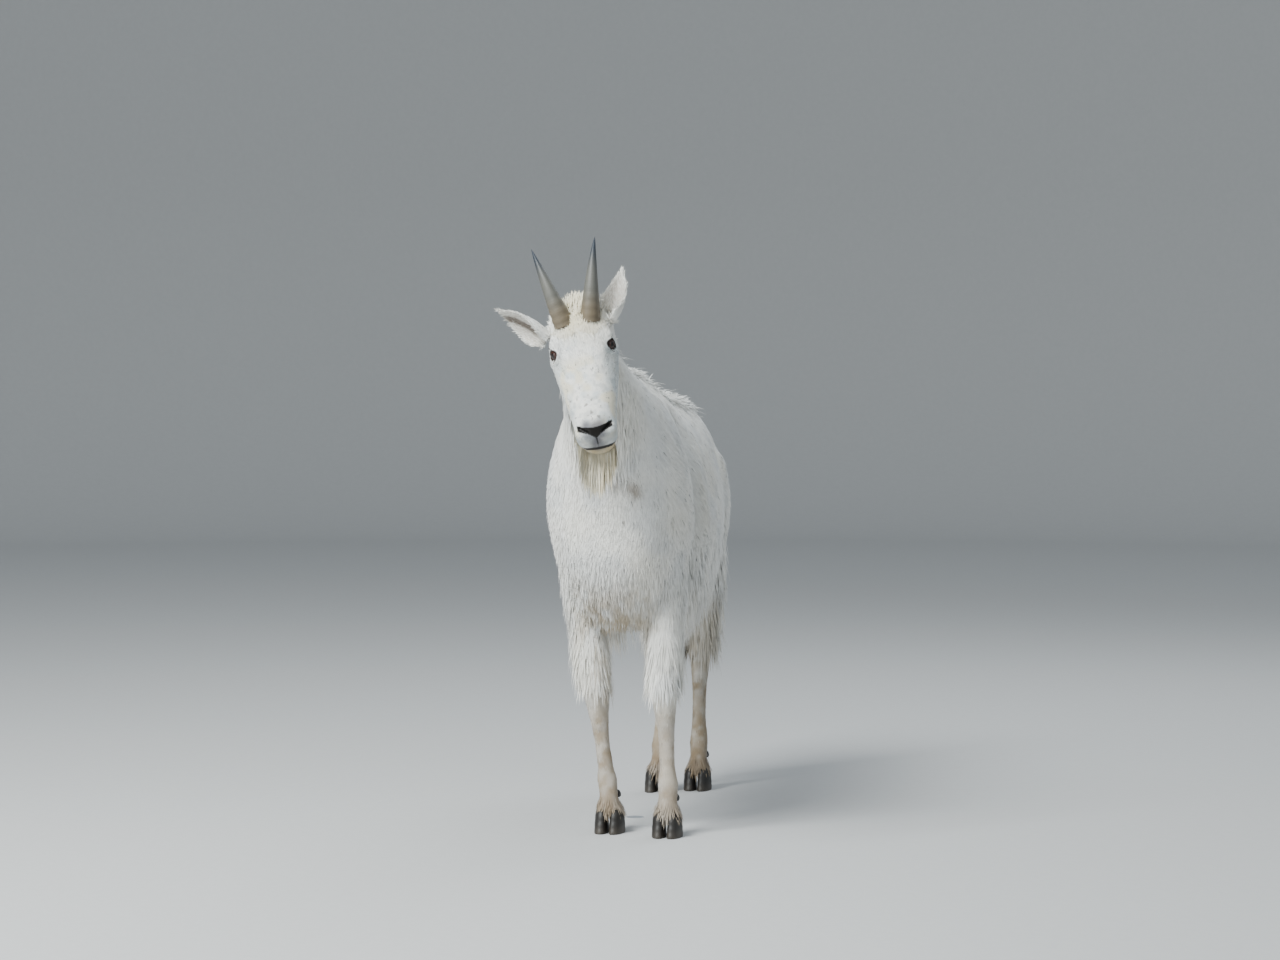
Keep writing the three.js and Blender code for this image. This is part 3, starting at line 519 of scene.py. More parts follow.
# %% Ear surfaces
EAR_ROOT = np.array([63.0, 47, -4])
EAR_LENGTH = 108
EAR_WIDTH = 27
EAR_THICK = 4.5
EAR_WIDTHS = np.array([0.7, 0.86, 0.97, 1, 0.95, 0.84, 0.66, 0.44, 0.2])
EAR_ROLLS = np.radians([150, 135, 118, 100, 86, 72, 60, 52, 46])
EARS = {
    LEFT: (np.array([0.37, 0.9, 0.2]), np.array([-0.34, -0.4, 0.85])),
    RIGHT: (np.array([-0.79, 0.47, 0.41]), np.array([0, -0.98, 0.2])),
}


def ear_frame(side):
    """An ear's root and the directions of its length, of its opening and across it."""
    reach, opening = EARS[side]
    axis = unit(reach)
    cup = unit(opening - (opening @ axis) * axis)
    return EAR_ROOT * [side, 1, 1], axis, cup, np.cross(axis, cup)


def ear_points(side, rings=46, arc=20):
    """Points of an ear: at each share of the length, two arcs about a centre over the spine, of
    radius half the width over the sine of the roll, and that less the wall."""
    root, axis, cup, across = ear_frame(side)
    steps = len(EAR_WIDTHS)
    share = np.linspace(0.02, 0.985, rings)
    place = np.clip(share * (steps + 0.35) - 0.6, 0, steps - 1)
    tip = np.sqrt(np.clip((1 - share) / 0.12, 0, 1))
    half = EAR_WIDTH * smooth(EAR_WIDTHS, place) * np.maximum(tip, 0.12)
    roll = smooth(EAR_ROLLS, place)
    radius = half / np.sin(np.minimum(roll, np.pi / 2))
    wall = np.minimum(EAR_THICK, half * 0.6)
    sweep = np.linspace(-1, 1, arc)
    angle = np.concatenate([sweep, sweep[-2:0:-1]])[None] * roll[:, None]
    inner = np.concatenate([np.zeros(arc), np.ones(arc - 2)])[None] * wall[:, None]
    reach = radius[:, None] - inner
    spine = (
        root
        + axis * ((EAR_LENGTH + 18) * share)[:, None]
        - cup * (10 * np.sin(np.pi * share))[:, None]
    )
    return (
        spine[:, None]
        + across * (reach * np.sin(angle))[..., None]
        + cup * (radius[:, None] * 0.9 - reach * np.cos(angle))[..., None]
    )


# %% [markdown]
# ## The skin
# The forms of the body cut through each other, and a real skin doesn't. A voxel remesh fuses
# overlapping shells: it fills space with small cubes and wraps one surface round all that is full.
# A few rounds of smoothing then blend leg into flank, as muscle does. The head has finer cubes
# than the body, because its lips, lids and nostrils are small. Both halves go into one object,
# whose join lies deep under the coat of the neck.

# %% Fuse shells into one surface


def fused(name, parts, voxel, rounds):
    """Points in millimetres and quads of one surface round several shells."""
    mesh = mesh_from(name, *joined(parts))
    draft = bpy.data.objects.new(name, mesh)
    bpy.context.scene.collection.objects.link(draft)
    remesh = draft.modifiers.new("fuse", "REMESH")
    remesh.mode = "VOXEL"
    remesh.voxel_size = voxel * MM
    relax = draft.modifiers.new("relax", "SMOOTH")
    relax.factor = 0.5
    relax.iterations = rounds
    wrapped = draft.evaluated_get(bpy.context.evaluated_depsgraph_get()).to_mesh()
    points = np.zeros(len(wrapped.vertices) * 3, np.float32)
    wrapped.vertices.foreach_get("co", points)
    quads = np.zeros(len(wrapped.loops), np.int32)
    wrapped.loops.foreach_get("vertex_index", quads)
    bpy.data.objects.remove(draft)
    bpy.data.meshes.remove(mesh)
    points = points.reshape(-1, 3).astype(float) / MM - SHIFT
    print(name, "has", len(points), "points and", len(quads) // 4, "quads")
    return points, quads.reshape(-1, 4)


def point_normals(points, quads):
    """The normal at each point: the sum of its quads' own normals, made one long."""
    across = points[quads[:, 2]] - points[quads[:, 0]]
    over = points[quads[:, 3]] - points[quads[:, 1]]
    facing = np.cross(across, over)
    total = np.zeros_like(points)
    for axis in range(3):
        weights = np.repeat(facing[:, axis], 4)
        total[:, axis] = np.bincount(quads.ravel(), weights, len(points))
    return unit(total)


def ball(middle, radius, rings=24, sides=32):
    """A sphere: its rings are sines of the polar angle, at heights of its cosine."""
    polar = np.linspace(0.02, np.pi - 0.02, rings)[:, None]
    around = np.linspace(0, 2 * np.pi, sides, endpoint=False)[None]
    x = np.sin(polar) * np.cos(around)
    y = np.sin(polar) * np.sin(around)
    z = np.cos(polar) * np.ones_like(around)
    return shell(middle + radius * np.stack([x, y, z], -1))


# %% [markdown]
# ### Lumps and hollows of the head
# A skull shows through at the brow, the cheekbone and the jaw. Each is a soft push: it moves the
# points near a middle by an amount that falls off with the square of the distance, on both sides.

# %% Build the two halves of the skin
HEAD_LUMPS = [
    ((64, 6, 14), 20, (5, 0, 5)),
    ((62, -6, -22), 22, (4, 0, 0)),
    ((56, 30, -74), 36, (5, 0, -2)),
    ((58, -40, 6), 22, (-5, 0, -2)),
    ((34, -194, -8), 15, (5, -2, 2)),
    ((30, -194, -38), 15, (4, -3, 0)),
    ((0, -200, -66), 27, (0, -8, -14)),
    ((22, -196, -62), 18, (3, -4, -5)),
]


def sculpted(points):
    """Each push is scaled by e to the minus square of distance over reach, on both sides."""
    moved = points.copy()
    for middle, reach, push in HEAD_LUMPS:
        for side in (LEFT, RIGHT):
            away = np.linalg.norm(moved - np.array(middle) * [side, 1, 1], axis=-1)
            share = np.exp(-((away / reach) ** 2)) * (1 if middle[0] else 0.5)
            moved = moved + share[..., None] * (np.array(push) * [side, 1, 1])
    return moved


LID_RADIUS = EYE_RADIUS + 2
HEAD_CUBES, HEAD_ROUNDS = 2.0, 4
BODY_CUBES, BODY_ROUNDS = 8.5, 9
head_parts = [shell_of(skull, 150, 120, lambda p: from_head(sculpted(p)))]
for side in (LEFT, RIGHT):
    for points, faces in (shell(ear_points(side)), ball(eye_frame(side)[0], LID_RADIUS)):
        head_parts.append((from_head(points), faces))
head_points, head_quads = fused("head_draft", head_parts, HEAD_CUBES, HEAD_ROUNDS)

body_parts = [shell_of(trunk, 140, 72), shell_of(tail, 30, 24)]
body_parts += [shell_of(limb, 130, 32) for limb in legs.values()]
body_points, body_quads = fused("body_draft", body_parts, BODY_CUBES, BODY_ROUNDS)

# %% [markdown]
# ### Which part a point is on
# The hair's length, its lie and its colour depend on the part of the body. A leg's point is near
# the leg's own axis, measured in shares of its section there. A point is on an ear if it is out
# of the skull's own form and near the ear's line.

# %% Where on the body


def leg_share(points, body):
    """How far a point is from a leg's axis, as a share of the leg's section at its height."""
    order = np.argsort(body["centre"][:, 2])
    high = body["centre"][order, 2]
    at = lambda values: np.interp(points[:, 2], high, values[order])
    wide, front, back = (np.maximum(at(body["sizes"][:, k]), 12) for k in range(3))
    x = (points[:, 0] - at(body["centre"][:, 0])) / wide
    y = points[:, 1] - at(body["centre"][:, 1])
    return np.hypot(x, y / np.where(y < 0, front, back))


def section_share(points, body, count=90):
    """How far out a point is in the nearest section of a form: 1 is on its surface."""
    places = np.linspace(0.05, body["last"] - 0.05, count)
    centre = smooth(body["centre"], places)
    up = unit(smooth(body["up"], places))
    sizes = smooth(body["sizes"], places)
    plane = np.cross([1.0, 0, 0], up)
    share = np.full(len(points), 9.0)
    for block in np.array_split(np.arange(len(points)), max(1, len(points) // 8000)):
        away = points[block, None] - centre[None]
        out = np.abs(np.einsum("nki,ki->nk", away, plane))
        best = np.argmin(out + 0.25 * np.linalg.norm(away, axis=2), axis=1)
        near = away[np.arange(len(block)), best]
        x = near[:, 0] / np.maximum(sizes[best, 0], 1)
        z = np.einsum("ni,ni->n", near, up[best])
        z = z / np.maximum(np.where(z > 0, sizes[best, 1], sizes[best, 2]), 1)
        share[block] = np.hypot(x, z) + out[np.arange(len(block)), best] / 60
    return share


def is_ear(head, side):
    """True on an ear: near the line of its length, and out of the skull's own form."""
    root, axis, _, _ = ear_frame(side)
    along = (head - root) @ axis
    off = np.linalg.norm(head - root - along[:, None] * axis, axis=1)
    on = (along > 4) & (along < EAR_LENGTH + 24) & (off < 44) & (head[:, 0] * side > 30)
    return on & (section_share(head, skull) > 1.1)


# %% [markdown]
# ### Pressing in
# The solids reach out to the tips of the coat, so the skin is sunk under them by the coat's depth:
# 8 mm on the trunk, less on the legs, 1 to 3 mm on the head and hardly at all on the ears. Mouth,
# nostrils and the groove under the nose are pressed deeper. Behind the shoulder blade the flank has
# a long shallow hollow. In the slits of the eyes the skin is drawn back behind the eyeball.

# %% Press in the eyes, nose, mouth and body
EAR_SINK = 0.5
SOCKET_EDGE = 1.03
HOLLOW_AT, HOLLOW_REACH, HOLLOW_DEEP = -214, 50, 25


def groove(away, deep, reach):
    """Its greatest depth times e to the minus square of distance over reach."""
    return deep * np.exp(-((away / reach) ** 2))


def shoulder_hollow(points, normals, full_at):
    """Share of the hollow: a bell along the body, where the skin faces sideways, that fades in
    from the belly up to a height and out below the withers."""
    share = groove(points[:, 1] - HOLLOW_AT, 1, HOLLOW_REACH) * fade(np.abs(normals[:, 0]), 0.4, 0.7)
    return share * fade(points[:, 2], 470, full_at) * fade(points[:, 2], 960, 840)


head_normals = point_normals(head_points, head_quads)
head_local = into_head(head_points)
half_head = folded(head_local)
_, mouth_away, slit = face_marks(head_local)
ear_here = is_ear(head_local, LEFT) | is_ear(head_local, RIGHT)
press = np.where(ear_here, EAR_SINK, 1.2 + 1.6 * fade(head_local[:, 1], -60, 60))
press = press + groove(line_distance(half_head, NOSTRIL), 7.5, 3.4)
press = press + groove(mouth_away, 3.2, 1.7)
press = press + groove(line_distance(half_head, PHILTRUM), 0.9, 2)
head_points = head_points - head_normals * press[:, None]
socket = slit < SOCKET_EDGE
for side in (LEFT, RIGHT):
    middle = from_head(eye_frame(side)[0])
    here = socket & (head_local[:, 0] * side > 0)
    head_points[here] = middle + unit(head_points[here] - middle) * (EYE_RADIUS - 3)
print("points in the eye openings:", int(socket.sum()))

body_normals = point_normals(body_points, body_quads)
depth = 8 - 4 * fade(body_points[:, 2], 470, 400) - 2.5 * fade(body_points[:, 2], 360, 300)
depth = depth + HOLLOW_DEEP * shoulder_hollow(body_points, body_normals, 560)
body_points = body_points - body_normals * depth[:, None]

# %% [markdown]
# ### One object, with an unwrap
# The two halves are joined, and Smart UV Project cuts the surface into flat islands, as a maker
# of patterns would. The map is named OFBake. Each tuft later takes its own small patch at the
# place of its root on this same map, so that skin and hair can be painted on one image.

# %% Join and unwrap the skin
skin_points = np.concatenate([head_points, body_points])
skin_quads = np.concatenate([head_quads, body_quads + len(head_points)])
skin_mesh = mesh_from("skin", skin_points, skin_quads)
skin_mesh.uv_layers.new(name="OFBake")
skin_object = bpy.data.objects.new("skin", skin_mesh)
bpy.context.scene.collection.objects.link(skin_object)
bpy.context.view_layer.objects.active = skin_object
bpy.ops.object.mode_set(mode="EDIT")
bpy.ops.mesh.select_all(action="SELECT")
bpy.ops.uv.smart_project(angle_limit=np.radians(66), island_margin=0.0, margin_method="ADD")
bpy.ops.object.mode_set(mode="OBJECT")
skin_uv = np.zeros(len(skin_mesh.loops) * 2, np.float32)
skin_mesh.uv_layers["OFBake"].data.foreach_get("uv", skin_uv)
skin_uv = skin_uv.reshape(-1, 4, 2)
skin_normals = point_normals(skin_points, skin_quads)
print("skin:", len(skin_points), "points,", 2 * len(skin_quads), "triangles")

# %% What is known at each point of the skin


def known_at(points, normals, on_head):
    """The facts that length, lie and colour are worked out from."""
    head = into_head(points)
    leg_close = np.min([leg_share(points, limb) for limb in legs.values()], axis=0)
    z = points[:, 2]
    limb = np.where(z < 445, 1.0, fade(leg_close, 1.3, 1.02) * fade(z, 640, 560))
    nose, mouth, slit_away = face_marks(head)
    return {
        "p": points,
        "n": normals,
        "head": head,
        "head_n": normals @ HEAD_TURN,
        "on_head": on_head,
        "ear": {side: is_ear(head, side) & on_head for side in (LEFT, RIGHT)},
        "limb": limb * ~on_head,
        "nose": nose,
        "mouth": mouth,
        "slit": slit_away,
    }


on_head = np.arange(len(skin_points)) < len(head_points)
on_body = (~on_head).astype(float)
skin_known = known_at(skin_points, skin_normals, on_head)
on_ear = skin_known["ear"][LEFT] | skin_known["ear"][RIGHT]
ACROSS, ALONG, HIGH = skin_points.T
N_ACROSS, N_ALONG, N_HIGH = skin_normals.T
HEAD_ACROSS, HEAD_ALONG, HEAD_HIGH = skin_known["head"].T
print("ear points:", int(skin_known["ear"][LEFT].sum()), int(skin_known["ear"][RIGHT].sum()))

# %% [markdown]
# ### The coat's colours
# The marks are laid over each other like washes of paint: a warm white, a mottle of cream and
# cool grey, then stains where the animal lies and kneels, tan shanks, and last the black nose.
# Three washes are painted shade: grey in the hollow behind the shoulder, blue-grey on the sides
# of the face, and a dark band deep in the cup of each ear.

# %% Colours by place
WHITE = linear("#f1efe9")
GREY = linear("#d9dbdc")
CREAM = linear("#e9dfc2")
STAIN = linear("#a8936f")
BROWN = linear("#75604a")
TAN = linear("#8f7a5e")
MUZZLE = linear("#a9b0b2")
NOSE_HAZE = linear("#67656b")
SKIN_BLACK = linear("#14110f")
LIP = linear("#8d8783")
EAR_SKIN = linear("#cfc6bb")
# Painted shade deep in the cup of an ear.
EAR_HOLLOW_SHADE = linear("#5f5147")
# Grey of the face's mottle, and painted shade in the hollow behind the shoulder.
SPECK = linear("#85817a")
# Blue-grey of the face's mottle, and painted shade on the sides of the face.
BLUE_GREY = linear("#bcc6c9")
GREY_HAIR_AND_HOLLOW_SHADE = linear("#a8abab")
LID_SKIN = linear("#2a1d17")
CHIN_PALE = linear("#c2b08a")
BROW = np.array([0, 36, 44.0])
CROWN = np.array([0, 78, 34.0])
NAPE = np.array([-24.0, -590, 1100])
CHEST_STAIN = np.array([-10.0, -355, 480])
CHEST_SMUDGES = np.array([(30.0, -474, 782), (56, -466, 766)])


def spot(points, middle, reach):
    """A soft round mark: e to the minus square of distance over reach."""
    return groove(np.linalg.norm(points - middle, axis=1), 1, reach)


def ear_inside(known, side):
    """True on the hollow side of an ear: the normal points to the line that the cup is rolled on."""
    root, axis, cup, _ = ear_frame(side)
    head = known["head"]
    along = np.clip((head - root) @ axis, 0, None)
    centre = root + along[:, None] * axis + cup * 20
    return known["ear"][side] & (np.einsum("ij,ij->i", known["head_n"], unit(centre - head)) > 0.1)


def ear_hollow_shade(known, side):
    """Painted shade in the hollow of an ear, a dark band along it under its middle. The ear that turns
    to the camera shows little of it."""
    root, axis, _, across = ear_frame(side)
    off = known["head"] - root
    along = off @ axis / EAR_LENGTH
    band = fade(np.abs(off @ across + 9), 7, 3) * fade(along, 0.08, 0.25) * fade(along, 1, 0.85)
    return ear_inside(known, side) * band * (0.25 if side == LEFT else 0.85)


def markings(known):
    """Linear colours at the known points: a warm white, then one wash of colour after the other,
    each with its share at every point."""
    p, n, head, head_n = (known[key] for key in ("p", "n", "head", "head_n"))
    y, z, face = p[:, 1], p[:, 2], head[:, 1]
    wide = np.abs(head[:, 0])
    on = known["on_head"].astype(float)
    off = 1 - on
    limb = known["limb"]
    coarse = noise(p, 46, 1)
    fine = noise(p, 14, 2)
    brow = spot(head, BROW, 34) + 0.9 * spot(head, CROWN, 34)
    chin = on * fade(head_n[:, 2], 0.1, -0.7) * fade(face, -205, -150) * fade(face, -30, -80)
    low = off * fade(z, 620, 470) * (1 - limb)
    chest = spot(p, CHEST_STAIN, 90) * fade(fine + coarse, 0.7, 1.3)
    inner = limb * fade(z, 470, 380) * fade(np.abs(p[:, 0]), 80, 40)
    thigh = limb * fade(y, 0, 60) * fade(z, 560, 480) * fade(n[:, 1], 0.5, -0.3)
    # Painted shade: grey in the hollow behind the shoulder, where the flank lies in shadow.
    behind = shoulder_hollow(p, n, 600) * off
    body_washes = [
        (GREY, 0.55 * fade(coarse, 0.35, 0.8)),
        (CREAM, 0.16 * fade(noise(p, 70, 3), 0.5, 0.9)),
        (CREAM, on * np.clip(brow, 0, 1) * (0.55 + 0.4 * fine)),
        (CREAM, 0.5 * chin),
        (CREAM, 0.3 * np.clip(spot(p, NAPE, 60), 0, 1)),
        (STAIN, 0.35 * low * fade(fine, 0.3, 0.8)),
        (STAIN, 0.8 * np.clip(chest, 0, 1)),
        *((BROWN, 0.75 * spot(p, at, 17) * fade(fine, 0.1, 0.6)) for at in CHEST_SMUDGES),
        (STAIN, 0.45 * inner * fade(fine, 0.2, 0.8)),
        (STAIN, 0.4 * thigh * fade(fine, 0, 0.7)),
        # painted shade in the hollow behind the shoulder
        (GREY_HAIR_AND_HOLLOW_SHADE, 0.4 * behind * (0.7 + 0.5 * fine)),
        (TAN, off * fade(z, 330, 230) * (0.5 + 0.35 * fine)),
        (BROWN, off * fade(z, 130, 60) * (0.35 + 0.3 * coarse)),
    ]
    bridge = on * fade(face, -20, -60) * fade(head[:, 2], -30, 0)
    # Painted shade: blue-grey where the face turns to the side.
    cheek = on * fade(np.abs(head_n[:, 0]), 0.45, 0.85) * fade(face, 30, -20)
    mottled = on * fade(face, 20, -30)
    rest = fade(noise(p, 8, 24), 0.89, 0.94) * (1 - bridge)
    front = on * fade(face, -176, -200)
    lip_level = (head - MOUTH_FRONT) @ MOUTH_NORMAL
    patches = fade(noise(p, 11, 25), 0.25, 0.75)
    haze = fade(known["nose"], 30, 8) * fade(face, -150, -170)
    haze = haze * fade(wide, 36, 14) * (0.7 + 0.6 * fine)
    lips = known["mouth"] - 2.4 * fade(face, -196, -209)
    lips = lips + 2.6 * fade(wide, 24, 31) * fade(face, -150, -185)
    head_washes = [
        # painted shade on the sides of the face
        (BLUE_GREY, 0.4 * cheek),
        (BLUE_GREY, 0.6 * mottled * fade(noise(p, 13, 21), 0.4, 0.8)),
        (GREY_HAIR_AND_HOLLOW_SHADE, 0.45 * mottled * fade(noise(p, 6.5, 26), 0.5, 0.8)),
        (CREAM, 0.7 * bridge * fade(noise(p, 19, 22), 0.4, 0.75)),
        (SPECK, 0.8 * bridge * fade(noise(p, 4.6, 23), 0.8, 0.87)),
        (SPECK, 0.7 * rest),
        (MUZZLE, (0.25 + 0.45 * patches) * front * fade(lip_level, 0, 4)),
        (CHIN_PALE, 0.9 * front * fade(lip_level, -2, -5) * (0.75 + 0.4 * fine)),
        (NOSE_HAZE, 0.9 * on * np.clip(haze, 0, 1)),
        (LIP, on * 0.6 * fade(known["mouth"], 6, 2.5)),
        (EAR_SKIN, 0.8 * ear_inside(known, LEFT)),
        # painted shade deep in the hollow of each ear
        (EAR_HOLLOW_SHADE, ear_hollow_shade(known, LEFT)),
        (EAR_SKIN, 0.8 * ear_inside(known, RIGHT)),
        (EAR_HOLLOW_SHADE, ear_hollow_shade(known, RIGHT)),
        (SKIN_BLACK, on * fade(known["nose"], 7.2, 5.4)),
        (SKIN_BLACK, on * 0.9 * fade(lips, 2.0, 1.1)),
        (LID_SKIN, on * fade(known["slit"], 1.3, 1.12)),
    ]
    colour = np.broadcast_to(WHITE, p.shape)
    for tone, share in body_washes + head_washes:
        colour = blend(colour, tone, share)
    return colour


skin_colour = markings(skin_known)
print("mean colour:", np.round(skin_colour.mean(0), 3))

# %% [markdown]
# ## Materials
# A material starts from what the real thing is. Hair is rough and slightly translucent, so its
# light is soft: high roughness, a little sheen, low specular. Horn and hoof are keratin, IOR 1.55,
# worn to a satin. An eye is wet: a clear coat over a dark ball. One helper adds a node with its
# settings and its links.

# %% A helper for nodes


def material_named(name):
    """A new material and a function that adds a node: its kind, settings, and inputs by name. An
    input is a number, or the output of another node, as a pair of node and output name."""
    material = bpy.data.materials.new(name)
    material.use_nodes = True
    tree = material.node_tree
    tree.nodes.clear()

    def add(kind, settings=None, **inputs):
        """A node, its settings by name, its inputs by name or by _ and their number."""
        node = tree.nodes.new(kind)
        for key, value in (settings or {}).items():
            setattr(node, key, value)
        for key, value in inputs.items():
            slot = int(key[1:]) if key[1:].isdigit() else key.replace("_", " ")
            socket = node.inputs[slot]
            if isinstance(value, tuple) and isinstance(value[0], bpy.types.Node):
                tree.links.new(value[0].outputs[value[1]], socket)
            else:
                socket.default_value = value
        return node

    return material, add


# %% Hair and skin
# Goat hair, 0.05 to 0.1 mm thick: too fine to show, so a tuft stands for some dozens of hairs and
# the bump draws strands about 1 mm apart.
hair, add = material_named("goat_hair")
tint = add("ShaderNodeAttribute", {"attribute_name": "tint"})
place = add("ShaderNodeTexCoord")
mottle = add("ShaderNodeTexNoise", Vector=(place, "Object"), Scale=90.0, Detail=3.0)
lighten = add("ShaderNodeMapRange", Value=(mottle, "Fac"), To_Min=0.9, To_Max=1.06)
shade = add(
    "ShaderNodeVectorMath", {"operation": "SCALE"}, _0=(tint, "Color"), Scale=(lighten, "Result")
)
strands = add("ShaderNodeTexNoise", Vector=(place, "Object"), Scale=900.0, Detail=2.0)
fluff = add("ShaderNodeBump", Strength=0.25, Distance=0.0006, Height=(strands, "Fac"))
coat_shader = add(
    "ShaderNodeBsdfPrincipled",
    Base_Color=(shade, "Vector"),
    Roughness=0.8,
    IOR=1.55,
    Specular_IOR_Level=0.25,
    Sheen_Weight=0.25,
    Sheen_Roughness=0.5,
    Normal=(fluff, "Normal"),
)
add("ShaderNodeOutputMaterial", Surface=(coat_shader, "BSDF"))

# Skin under short hair, pebbled at about 1.5 mm on the nose and smooth and damp there.
skin_material, add = material_named("skin_with_short_hair")
tint = add("ShaderNodeAttribute", {"attribute_name": "tint"})
bare = add("ShaderNodeAttribute", {"attribute_name": "bare"})
place = add("ShaderNodeTexCoord")
mottle = add("ShaderNodeTexNoise", Vector=(place, "Object"), Scale=150.0, Detail=4.0)
lighten = add("ShaderNodeMapRange", Value=(mottle, "Fac"), To_Min=0.86, To_Max=1.08)
shade = add(
    "ShaderNodeVectorMath", {"operation": "SCALE"}, _0=(tint, "Color"), Scale=(lighten, "Result")
)
wet = add("ShaderNodeMapRange", Value=(bare, "Fac"), To_Min=0.8, To_Max=0.38)
pebble = add("ShaderNodeTexVoronoi", Vector=(place, "Object"), Scale=650.0)
nap = add("ShaderNodeTexNoise", Vector=(place, "Object"), Scale=1100.0, Detail=3.0)
relief = add("ShaderNodeMix", _0=(bare, "Fac"), _2=(nap, "Fac"), _3=(pebble, "Distance"))
grain = add("ShaderNodeBump", Strength=0.4, Distance=0.0007, Height=(relief, "Result"))
skin_shader = add(
    "ShaderNodeBsdfPrincipled",
    Base_Color=(shade, "Vector"),
    Roughness=(wet, "Result"),
    IOR=1.45,
    Specular_IOR_Level=0.3,
    Normal=(grain, "Normal"),
)
add("ShaderNodeOutputMaterial", Surface=(skin_shader, "BSDF"))
print("materials:", hair.name, skin_material.name)


# %% Finish the skin


def paint(mesh, name, values):
    """A colour, or a single number, at each point of a mesh, for the material to read."""
    if values.ndim == 1:
        layer = mesh.attributes.new(name, "FLOAT", "POINT")
        layer.data.foreach_set("value", values.astype(np.float32))
        return
    layer = mesh.attributes.new(name, "FLOAT_COLOR", "POINT")
    full = np.concatenate([values, np.ones((len(values), 1))], 1)
    layer.data.foreach_set("color", full.astype(np.float32).ravel())


FLESH = [name for name in sorted(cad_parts) if not name.startswith(("eye", "horn", "hoof"))]
bare_share = np.maximum(fade(skin_known["nose"], 7.5, 5.0), fade(skin_known["mouth"], 3, 1.2))
paint(skin_mesh, "tint", skin_colour)
paint(skin_mesh, "bare", bare_share * on_head)
skin_mesh.materials.append(skin_material)
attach(skin_object, "root")
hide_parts(*FLESH)
print("the skin stands for", len(FLESH), "solids")

# %% [markdown]
# ## How the coat grows
# Particle hair looks right but isn't mesh, and a copy of the model would lose it. Here each tuft
# is a thin closed blade of a few triangles. Its root is a random point of the skin, more likely
# where the coat is dense. Its line leaves the skin at a low angle, bends back to lie along the
# body, and falls under its own weight. Long hair also clumps: the tips of all tufts that root in
# one small cube are drawn towards their common tip, which makes the locks of the beard and the
# pantaloons. The blades are shaded with the skin's own normals, mostly, so that the coat takes
# the light softly, as a mass of hair does, instead of glittering like straw.

# %% Roots on the skin
skin_tris = np.concatenate([skin_quads[:, :3], skin_quads[:, [0, 2, 3]]])
skin_tri_uv = np.concatenate([skin_uv[:, :3], skin_uv[:, [0, 2, 3]]])
corner, second, third = (skin_points[skin_tris[:, k]] for k in range(3))
tri_area = 0.5 * np.linalg.norm(np.cross(second - corner, third - corner), axis=1)


def hidden_share():
    """True inside the neck for the head's skin, and inside the head for the neck's: no hair there."""
    buried_head = on_head & (section_share(skin_points, trunk) < 0.93)
    away = np.linalg.norm(skin_points - HEAD_AT, axis=1)
    buried_neck = ~on_head & (away < 260)
    check = np.flatnonzero(buried_neck)
    inside = section_share(into_head(skin_points[check]), skull) < 0.97
    buried_neck[check[~inside]] = False
    return (buried_head & ~on_ear) | buried_neck


hidden = hidden_share()
print("hidden skin points:", int(hidden.sum()))


def scatter(weight, count):
    """Root points: triangles are drawn by area times weight, evenly along their running total, and
    the place in a triangle is even over its area."""
    share = tri_area * (weight * ~hidden)[skin_tris].mean(1)
    total = np.cumsum(share)
    picks = (np.arange(count) + chance.random(count)) / count * total[-1]
    tri = np.clip(np.searchsorted(total, picks), 0, len(total) - 1)
    a = np.sqrt(chance.random(count))
    b = chance.random(count)
    mix = np.stack([1 - a, a * (1 - b), a * b], 1)
    point = lambda values: np.einsum("nk,nki->ni", mix, values)
    known = known_at(
        point(skin_points[skin_tris[tri]]),
        unit(point(skin_normals[skin_tris[tri]])),
        on_head[skin_tris[tri, 0]],
    )
    known["uv"] = point(skin_tri_uv[tri])
    known["colour"] = markings(known)
    return known


# %% A tuft of mesh at each root
UV_PATCH = 0.003
ROOT_DEPTH = 1.2
SOFTNESS = 1.3
SHORT_RINGS = [0.4]
LONG_RINGS = [0.22, 0.55, 0.82]
RING_WIDTH = [(0.2, 0.85), (0.4, 1), (0.55, 1), (0.82, 0.62), (1, 0)]
CORNERS = [(1, 0), (0, 0.42), (-1, 0)]


def clumped(root, tip, size, pull):
    """Each tip, moved by a share of its way to the mean tip of the roots in the same cube."""
    cell = np.floor(root / size + 0.35 * np.sin(root[:, [1, 2, 0]] / size)).astype(int)
    _, group = np.unique(cell, axis=0, return_inverse=True)
    group = group.ravel()
    count = np.bincount(group)
    mean = lambda v: np.stack([np.bincount(group, v[:, k]) / count for k in range(3)], 1)[group]
    return (mean(tip) - tip + 0.25 * (root - mean(root))) * pull


